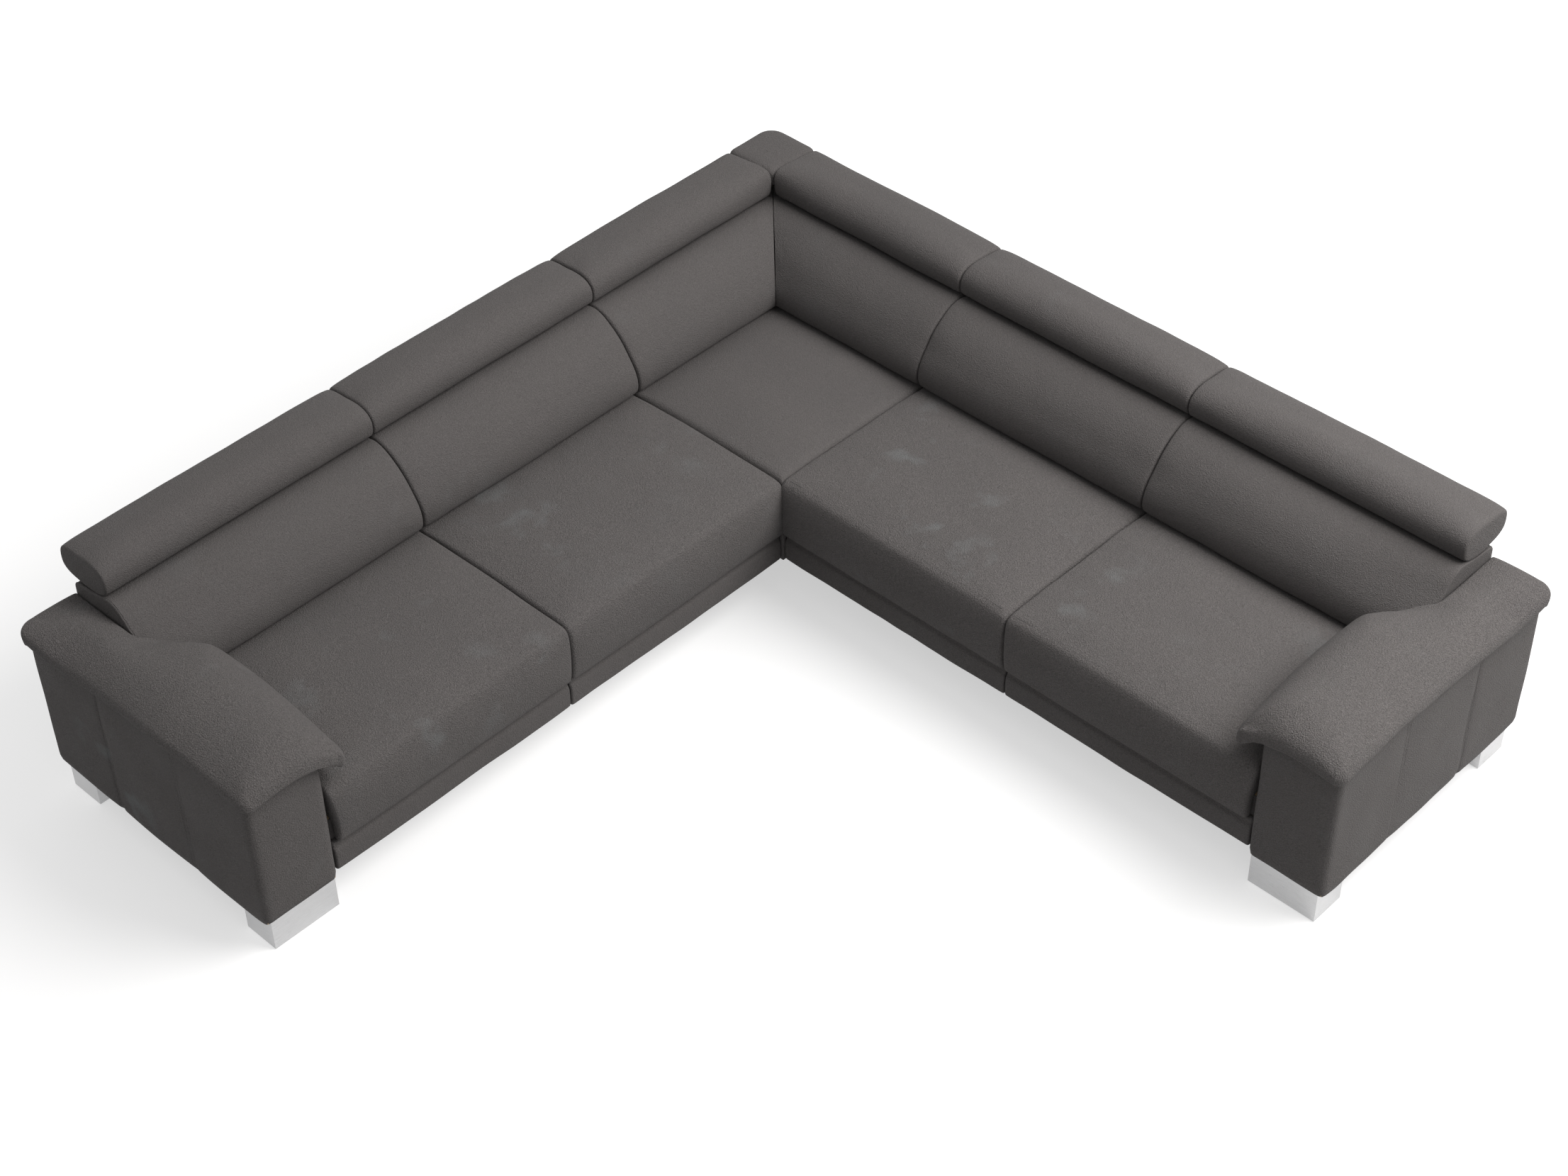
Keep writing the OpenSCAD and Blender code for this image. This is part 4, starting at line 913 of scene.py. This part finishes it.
def pad_sides(d):
    """The pad's inner and outer edges at depths, its corners rounded in plan."""
    turned = smoothstep((d - PAD_TURN_START) / PAD_TURN)
    skewed = np.clip((d - PAD_TURN_START + 0.02) / (PAD_FRONT - PAD_TURN_START + 0.02), 0, 1) ** 0.7
    inner = mix(PAD_CLEAR, PAD_TIP, turned) - PAD_BOW * np.sin(math.pi * skewed) * turned
    to_front = PAD_FRONT - d
    inner_front, outer_front, outer_rear = PAD_CORNERS
    inner = inner + 0.9 * edge_inset(to_front, inner_front)
    end = ARM_OUT + looked_up(PAD_OUT, d)
    end = end - 0.9 * np.maximum(edge_inset(d - PAD_REAR, outer_rear), edge_inset(to_front, outer_front))
    return inner, end


def roll(room, radius, power=2.0):
    """From 0 at an edge to 1 where its rounding ends."""
    share = np.clip(room / radius, 0, 1)
    return (1 - (1 - share) ** power) ** (1 / power)


def changing_roll(room, first, last, share):
    """A roll with a radius and power that change from the first ones to the last ones."""
    return roll(room, mix(first[0], last[0], share), mix(first[1], last[1], share))


def least_of(*shares):
    """A soft minimum of rolls, so that the ridges where they meet stay round."""
    least = np.minimum.reduce(shares)
    total = 1 + sum(np.maximum(share, 0.02) ** -4.0 - 1 for share in shares)
    return total ** -0.25 * np.clip(least / 0.02, 0, 1)


def nearest(a, d, line_a, line_d):
    """Distances of places from a line in plan."""
    return np.hypot(a[..., None] - line_a, d[..., None] - line_d).min(axis=-1)


def pad_rings(line):
    inner, end = pad_sides(line)
    share = 0.5 - 0.5 * np.cos(np.linspace(0, math.pi, PAD_ACROSS))
    a = inner[:, None] + (end - inner)[:, None] * share
    d = np.repeat(line[:, None], PAD_ACROSS, axis=1)
    depths = np.linspace(PAD_REAR, PAD_FRONT, 260)
    inner_line, end_line = pad_sides(depths)
    to_inner = np.minimum(nearest(a, d, inner_line, depths), a - inner[:, None])
    to_end = np.minimum(nearest(a, d, end_line, depths), end[:, None] - a)
    to_rear, to_front = d - PAD_REAR, PAD_FRONT - d
    room = np.minimum.reduce([to_inner, to_end, to_rear, to_front])

    lip_in = looked_up(INNER_LIP, inner)[:, None]
    lip_out = looked_up(OUTER_LIP, line)[:, None]
    lip = mix(lip_in, lip_out, smoothstep(share / 0.42))
    lip += front_arch(a) * np.clip((d - 0.80) / 0.12, 0, 1)
    crest = PAD_T - 0.027 * (1 - smoothstep((d - 0.08) / 0.34))
    ahead = smoothstep((d - PAD_TURN_START + 0.02) / 0.15)
    past_end = smoothstep((d - 0.10) / 0.22)
    full = least_of(changing_roll(to_inner, *ROLL_INNER, ahead),
                    changing_roll(to_end, *ROLL_OUTER, past_end),
                    roll(to_rear, *ROLL_REAR), roll(to_front, *ROLL_FRONT))
    lip_top = lip + PAD_BEAD * roll(room, PAD_BEAD)
    top = mix(lip_top, crest, full)

    hang = np.clip((ARM_IN - 0.0005 - a) / PAD_HANG, 0, 1)
    under = looked_up(LIP_UNDER, hang) * np.clip((d - PAD_TURN_START) / 0.05, 0, 1)
    past_side = smoothstep((a - ARM_OUT + 0.016) / 0.008) * smoothstep((d - 0.05) / 0.06)
    past_front = smoothstep((d - SEAT_REACH + 0.016) / 0.008) * smoothstep((a - ARM_IN - 0.02) / 0.08)
    under = mix(under, np.maximum(under, lip - PAD_BEAD), np.maximum(past_side, past_front))
    low = mix(lip, under, roll(room, mix(0.004, 0.010, smoothstep((d - 0.08) / 0.05))))
    low = np.minimum(low, top - 0.0008)
    upper = np.stack([a, d, PAD_UNDER + top], axis=-1)
    lower = np.stack([a, d, PAD_UNDER + low], axis=-1)
    return np.concatenate([upper, lower[:, ::-1]], axis=1)


def against_back(rings):
    """Shift a pad's rings rearwards, so that its inner part meets the leaning back."""
    face = mix(BACK_FRONT, BACK_LAST, 0.8)[2:8]
    leaning = np.interp(rings[..., 2], face[:, 1], face[:, 0])
    room = np.clip(PAD_TURN_START - 0.001 - leaning, 0, 0.1)
    d = rings[..., 1]
    ahead = np.clip((PAD_TURN_START + PAD_TURN + 0.10 - d) / (PAD_TURN + 0.10), 0, 1)
    behind = np.clip((d - PAD_REAR) / (PAD_TURN_START - PAD_REAR), 0, 1)
    rings[..., 1] -= room * np.where(d > PAD_TURN_START, ahead, behind)


def arm_pad(name, wing, seed):
    turn = rounding(0.06, 11)
    middle = np.linspace(PAD_REAR + 0.06, PAD_FRONT - 0.06, 58)
    extra = np.linspace(PAD_TURN_START + 0.003, PAD_TURN_START + PAD_TURN, 14)
    line = np.sort(np.concatenate([PAD_REAR + turn[:-1], middle, extra, PAD_FRONT - turn[:-1]]))
    rings = pad_rings(line)
    against_back(rings)
    piece = loft(name, wing, rings, pad_cloth, FLAT_CAPS)
    grid = grid_of(rings)
    held = np.zeros(len(piece.data.vertices))
    held[grid[:, PAD_ACROSS:]] = 1.0
    for edge in (grid[:, :8], grid[:, PAD_ACROSS - 6:PAD_ACROSS], grid[:6], grid[-6:]):
        held[edge] = 0.9
    held[grid[(line > PAD_TURN_START - 0.03) & (line < PAD_TURN_START + PAD_TURN + 0.02)]] = 0.95
    keep_soft(piece, held, cap=PAD_CAP)
    dress(piece, [name], seed)
    return piece


pads = {wing: arm_pad(f"{wing}_arm_pad", wing, 90 + w) for w, wing in enumerate(WINGS)}


# Bands under the seats, and the cloth in the groove behind them

BAND_D = 0.8955
BAND_FRONT = mm((899, 228.5), (906, 228), (910, 224), (910.5, 215), (912.5, 209), (917, 203),
                (918.6, 188), (918.8, 169), (918, 150), (916.5, 138), (911, 132.6), (902, 132.2))
BAND_ROUND, BAND_STEP = 0.006, 0.014
BAND_SAG = 0.0025
BAND_GAP = 0.0015


def band(name, wing, a0, a1, seed):
    upper = smooth_line(BAND_FRONT, 22)
    ring = closed(upper, even(np.array([(BAND_D, 0.2260), (BAND_D, 0.1345)]), len(upper)))
    out = outward(ring)
    width = a1 - a0
    rings = []
    for e in stations(width, BAND_ROUND, BAND_STEP):
        r = ring - out * edge_inset(min(e, width - e), BAND_ROUND)
        r[:, 1] -= BAND_SAG * np.clip((0.17 - r[:, 1]) / 0.03, 0, 1) * slow(e / width, 0.5)
        rings.append(placed(a0 + e, r))
    dress(loft(name, wing, rings, cloth), [name], seed)


GROOVE = mm((895.6, 300.4), (896.6, 300.6), (897.4, 298), (897.4, 160), (895.6, 160), (895.4, 164),
            (895.3, 180), (895.3, 290))
for w, wing in enumerate(WINGS):
    for k, (place, (a0, a1)) in enumerate(SEATS.items()):
        band(f"{wing}_{place}_band", wing, a0 + BAND_GAP, a1 - BAND_GAP, 100 + 10 * w + k)
    rings = [placed(a, GROOVE) for a in np.linspace(WING_START + 0.001, WING_END + 0.001, 40)]
    dress(loft(f"{wing}_groove_cloth", wing, rings, cloth))

# The fabric-covered inner corner, between the two wings' bands
POST = mm((916.5, 916.5), (899, 916.5), (899, 923.6), (921.5, 923.8), (923.2, 923.2),
          (923.8, 921.5), (923.6, 899), (916.5, 899))
rings = [np.column_stack([POST, np.full(len(POST), z)]) for z in np.linspace(0.1335, 0.30, 12)]
dress(loft("corner_band_post", "back_wing", rings, cloth, cap_way=UP_AND_DOWN))


# Rear covers, folded over the top of the back frames

REAR_OUTER = mm((44.5, 140.5), (38.5, 141.2), (34.5, 145), (33.5, 152), (32.6, 240), (32.2, 390),
                (32.6, 540), (33.5, 620), (35, 629), (40, 633.5), (46, 634.5), (92.9, 634.5))
REAR_INNER = mm((44.9, 141), (44.9, 150), (44.9, 620), (44.9, 631), (46.5, 632.5), (92.9, 632.5))
REAR_ROUND = 0.005
REAR_TURN = 0.030
# The section's first rows, which are on its outer side
REAR_OUTSIDE = 52


def rear_section(z_from=0.0):
    section = closed(even(REAR_OUTER, 60), even(REAR_INNER, 60))
    section[:, 1] = np.maximum(section[:, 1], z_from)
    return section


def rear_panel(name, wing, a0, a1, z_from):
    section = rear_section(z_from)
    outer = np.arange(len(section)) < REAR_OUTSIDE
    width = a1 - a0
    rings = []
    for e in stations(width, REAR_ROUND, 0.02):
        r = section.copy()
        room = min(e, width - e)
        r[:, 0] += outer * (0.9 * edge_inset(room, REAR_ROUND) + 0.0012 * max(0, 1 - room / 0.04))
        rings.append(placed(a0 + e, r))
    return loft(name, wing, rings, cloth)


REAR_PANELS = (("", WING_START + GAP, WING_MID, 0.0), ("_outer", WING_MID, WING_END - GAP, 0.0),
               ("_end", WING_END, BACK_END - END_T - 0.0002, 0.4216))
for w, wing in enumerate(WINGS):
    for k, (part, a0, a1, z_from) in enumerate(REAR_PANELS):
        name = f"{wing}_rear_cover{part}"
        panel = rear_panel(name, wing, a0, a1, z_from)
        dress(panel, [] if part else [name], 120 + w + 2 * k)


def corner_rear(name):
    """The rear cover round the outer corner, swept along its rounded plan."""
    r = REAR_TURN
    straight = np.linspace(WING_START - GAP, REAR_FACE + r, 44)
    path = [(a, REAR_FACE, 0.0, 1.0) for a in straight[:-1]]
    path += [(REAR_FACE + r - r * math.sin(t), REAR_FACE + r - r * math.cos(t), math.sin(t), math.cos(t))
             for t in np.radians(np.linspace(0, 90, 13))]
    path += [(REAR_FACE, a, 1.0, 0.0) for a in straight[::-1][1:]]
    section = rear_section()
    rings = []
    for a, d, in_a, in_d in path:
        # It reaches less far in round the corner block's post
        reach = mix(0.0585, section[:, 0].max(), smoothstep((max(a, d) - 0.094) / 0.010))
        t = np.minimum(section[:, 0], reach) - REAR_FACE
        rings.append(np.column_stack([a + in_a * t, d + in_d * t, section[:, 1]]))
    dress(loft(name, "back_wing", rings, cloth), [name], 130)


corner_rear("corner_rear_cover")

# The side panel of each back's end, from the rear cover to the front's curve
END_UPPER = np.vstack([mm((34.5, 432), (33.8, 520), (33.8, 615), (36, 629), (44, 634.5), (80, 641),
                          (115, 645.5), (145, 652)), BACK_LAST[:1:-1]])
END_LOWER = mm((40, 424), (120, 422.5), (240, 422.5), (310, 423.5), (344, 432), (358.2, 449))
END_ROUND, END_BULGE = 0.0052, 0.0012


def back_end(name, wing):
    ring = closed(smooth_line(END_UPPER, 90), smooth_line(END_LOWER, 90))
    out = outward(ring)
    ring = ring - out * 0.0001
    rings = []
    for t in (0.0, 0.0002, 0.0014, 0.0028, 0.0040, 0.0050, 0.0055, END_T):
        rings.append(placed(BACK_END - END_T + t, ring - out * edge_inset(END_T - t, END_ROUND)))
    dress(loft(name, wing, rings, cloth, (0.0, END_BULGE)), [], 140)


for wing in WINGS:
    back_end(f"{wing}_back_end_panel", wing)


# Cloth under the frames, stretched and sagging a little

DUST_STEP = 0.04
DUST_SAG, DUST_RIPPLE = 0.004, 0.0008
UNDER_FRAMES, UNDER_ARMS = 0.1412, 0.1172


def dust_sheet(name, wing, a0, a1, d0, d1, z, nodes=()):
    rows, columns = (max(6, int(length / DUST_STEP)) for length in (a1 - a0, d1 - d0))
    a, d = np.meshgrid(np.linspace(a0, a1, rows), np.linspace(d0, d1, columns), indexing="ij")
    sag = DUST_SAG * slow((a - a0) / (a1 - a0), 0.8) * slow((d - d0) / (d1 - d0), 0.8)
    places = np.stack([a, d, z - sag], axis=-1)
    places[..., 2] += waves(places, 7, 0.2) * DUST_RIPPLE * (sag > 0)
    places = on_wing(wing, places.reshape(-1, 3))
    piece = make_mesh(name, places, sheet_faces(rows, columns), dust_cloth)
    dress(piece, nodes)


for wing in WINGS:
    dust_sheet(f"{wing}_dust_cloth", wing, WING_START + 0.001, WING_END - 0.001, 0.046, 0.894,
               UNDER_FRAMES)
    dust_sheet(f"{wing}_arm_dust_cloth", wing, ARM_IN + 0.009, ARM_OUT - 0.009, 0.162, 0.789,
               UNDER_ARMS)
dust_sheet("corner_dust_cloth", "back_wing", 0.046, WING_START - 0.001, 0.046, WING_START - 0.001,
           UNDER_FRAMES, ["dust_covers"])


# Softness: the simulation, gathers, small waves

simulate()

GATHER_AT = (2.525, 0.945)
GATHER_REACH = 0.085
FAN_FROM = (2.47, 0.99)
FAN_FOLDS = 26
FOLD_HEIGHT = 0.0022


def gathers(wing, piece):
    """Small folds that fan out from the drooping front corner of an arm pad."""
    x, y, _ = rows_of(piece).T
    a, d = (x + CORNER, CORNER - y) if wing == "back_wing" else (CORNER - y, x + CORNER)
    near = np.clip(1 - np.hypot(a - GATHER_AT[0], d - GATHER_AT[1]) / GATHER_REACH, 0, 1) ** 1.3
    angle = np.arctan2(d - FAN_FROM[1], a - FAN_FROM[0])
    push(piece, np.sin(angle * FAN_FOLDS) * FOLD_HEIGHT * near)


for wing, piece in pads.items():
    gathers(wing, piece)

# Small waves: what each kind adds to a piece's seed, its length and its height
RIPPLES = ((0, 0.34, 0.0010), (500, 0.11, 0.00035))
for piece, seed in fabric_pieces:
    places = rows_of(piece)
    push(piece, sum(waves(places, seed + more, length) * height for more, length, height in RIPPLES))


# Stitches: short raised threads in rows beside the seams

STITCH_LEN = 0.0055
STITCH_PITCH = 0.0085
STITCH_R = 0.0005
STITCH_SIDES = 6
# Each thread's rings: how far along it they are, and their share of its radius
STITCH_RINGS = ((-0.5, 0.35), (-0.25, 0.95), (0.25, 0.95), (0.5, 0.35))


def stitches(name, lines, outs):
    """One mesh with a thread for each pitch of each line. outs are the surface's outward ways."""
    places, faces = [], []
    for line, out in zip(lines, outs):
        total = np.linalg.norm(np.diff(line, axis=0), axis=1).sum()
        count = max(2, int(total / STITCH_PITCH))
        fine = even(np.hstack([line, out]), count * 2)
        for k in range(count):
            mid, up = fine[2 * k, :3], fine[2 * k, 3:]
            along = fine[min(2 * k + 1, len(fine) - 1), :3] - fine[max(2 * k - 1, 0), :3]
            along /= max(np.linalg.norm(along), 1e-9)
            up = up / max(np.linalg.norm(up), 1e-9)
            side = np.cross(along, up)
            start = len(places)
            for share, width in STITCH_RINGS:
                lift = 0.6 if abs(share) < 0.4 else 0.0
                centre = mid + along * STITCH_LEN * share + up * STITCH_R * lift
                for t in range(STITCH_SIDES):
                    turn = 2 * math.pi * t / STITCH_SIDES
                    way = side * math.cos(turn) + up * math.sin(turn)
                    places.append(centre + STITCH_R * width * way)
            firsts = range(start, len(places), STITCH_SIDES)
            for first, second in zip(firsts, firsts[1:]):
                faces += hoop(first, second, STITCH_SIDES)
            faces.append(tuple(start + t for t in range(STITCH_SIDES))[::-1])
            faces.append(tuple(firsts[-1] + t for t in range(STITCH_SIDES)))
    dress(make_mesh(name, places, faces, thread))


for name, (piece, grid, seam) in seats.items():
    row = grid[5:-5, seam - 1]
    stitches(f"{name}_stitches", [rows_of(piece)[row]], [rows_of(piece, "normal")[row]])

for wing in WINGS:
    lines = arm_seam_rows(wing)
    way = on_wing(wing, np.array([1.0, 0.0, 0.0])) - on_wing(wing, np.zeros(3))
    stitches(f"{wing}_arm_stitches", lines, [np.tile(way, (len(line), 1)) for line in lines])

for piece, _ in fabric_pieces:
    subdivide(piece)


# Finishes of the solids that stay

for name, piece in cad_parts.items():
    if piece.hide_render:
        continue
    slot = piece.data.materials[0].name.split(".")[0] if piece.data.materials else ""
    finish = FINISH.get(slot)
    if finish is None:
        print("no finish for", name, slot)
        continue
    for k in range(len(piece.data.materials)):
        piece.data.materials[k] = finish


# Floor, light and camera

WHITE = grey(1.0)
FLOOR_SIZE = 40.0
FLOOR_GLOW = 0.54
FLOOR_FADE = (2.0, 5.0)
AMBIENT_LOW = 0.05
AMBIENT_HIGH = 0.72
AMBIENT_FADE = (-0.2, 0.9)
KEY_PLACE = Vector((3.05, 2.3, 4.9))
KEY_AIM = Vector((0.1, 0.1, 0.3))
KEY_SIZE = 4.6
KEY_POWER = 492.0
KEY_COLOUR = (1.0, 0.985, 0.97)

VIEW_AZ = 44.39
VIEW_EL = 42.03
VIEW_ROLL = -0.01821
VIEW_PLACE = Vector((3.8018, -3.8934, 5.5561))
VIEW_LENS = 65.82


def stage():
    """A floor that the camera sees as white but for the shade on it, and other light as grey."""
    line = (-FLOOR_SIZE, 0.0, FLOOR_SIZE)
    places = [(x, y, 0.0) for x in line for y in line]
    mat, tree, shader = new_material("floor")
    set_inputs(tree, shader, {"Base Color": grey(0.32), "Roughness": 0.9, "Specular IOR Level": 0.0})
    reach = add_node(tree, "VectorMath", {0: add_places(tree)}, operation="LENGTH").outputs["Value"]
    glow = add_node(tree, "Emission", {"Color": WHITE,
                                       "Strength": add_fade(tree, reach, *FLOOR_FADE, FLOOR_GLOW, 1.0)})
    shade = add_node(tree, "BsdfDiffuse", {"Color": grey(0.48)})
    both = add_node(tree, "AddShader", {0: shade.outputs[0], 1: glow.outputs[0]})
    surface = add_seen(tree, ("Is Camera Ray", "Is Glossy Ray"), both, shader)
    tree.links.new(surface, tree.nodes["Material Output"].inputs["Surface"])
    faces = [face[::-1] for face in sheet_faces(len(line), len(line))]
    make_mesh("floor", places, faces, mat, smooth=False)


def light():
    """A white world that the camera sees, softer light from above, and one large lamp."""
    world = bpy.data.worlds.new("studio")
    bpy.context.scene.world = world
    world.use_nodes = True
    tree = world.node_tree
    base = tree.nodes["Background"]
    way = add_node(tree, "SeparateXYZ", {0: add_places(tree, "Generated")}).outputs["Z"]
    set_inputs(tree, base, {"Color": WHITE,
                            "Strength": add_fade(tree, way, *AMBIENT_FADE, AMBIENT_LOW, AMBIENT_HIGH)})
    white = add_node(tree, "Background", {"Color": WHITE, "Strength": 1.0})
    surface = add_seen(tree, ("Is Camera Ray", "Is Glossy Ray", "Is Transmission Ray"), white, base)
    tree.links.new(surface, tree.nodes["World Output"].inputs["Surface"])
    lamp = bpy.data.lights.new("key", "AREA")
    lamp.shape = "DISK"
    lamp.size = KEY_SIZE
    lamp.energy = KEY_POWER
    lamp.color = KEY_COLOUR
    holder = add_object("key", lamp)
    holder.location = KEY_PLACE
    holder.rotation_euler = (KEY_AIM - KEY_PLACE).to_track_quat("-Z", "Y").to_euler()


def camera():
    az, el = math.radians(VIEW_AZ), math.radians(VIEW_EL)
    ahead = Vector((-math.sin(az) * math.cos(el), math.cos(az) * math.cos(el), -math.sin(el)))
    right = Vector((math.cos(az), math.sin(az), 0.0))
    up = right.cross(ahead)
    x = math.cos(VIEW_ROLL) * right + math.sin(VIEW_ROLL) * up
    y = -math.sin(VIEW_ROLL) * right + math.cos(VIEW_ROLL) * up
    data = bpy.data.cameras.new("camera")
    data.lens = VIEW_LENS
    data.sensor_width = 36.0
    data.sensor_fit = "HORIZONTAL"
    holder = add_object("camera", data)
    turn = Matrix((x, y, -ahead)).transposed()
    holder.matrix_world = Matrix.Translation(VIEW_PLACE) @ turn.to_4x4()
    bpy.context.scene.camera = holder


stage()
light()
camera()
bpy.context.scene.view_settings.view_transform = "Standard"
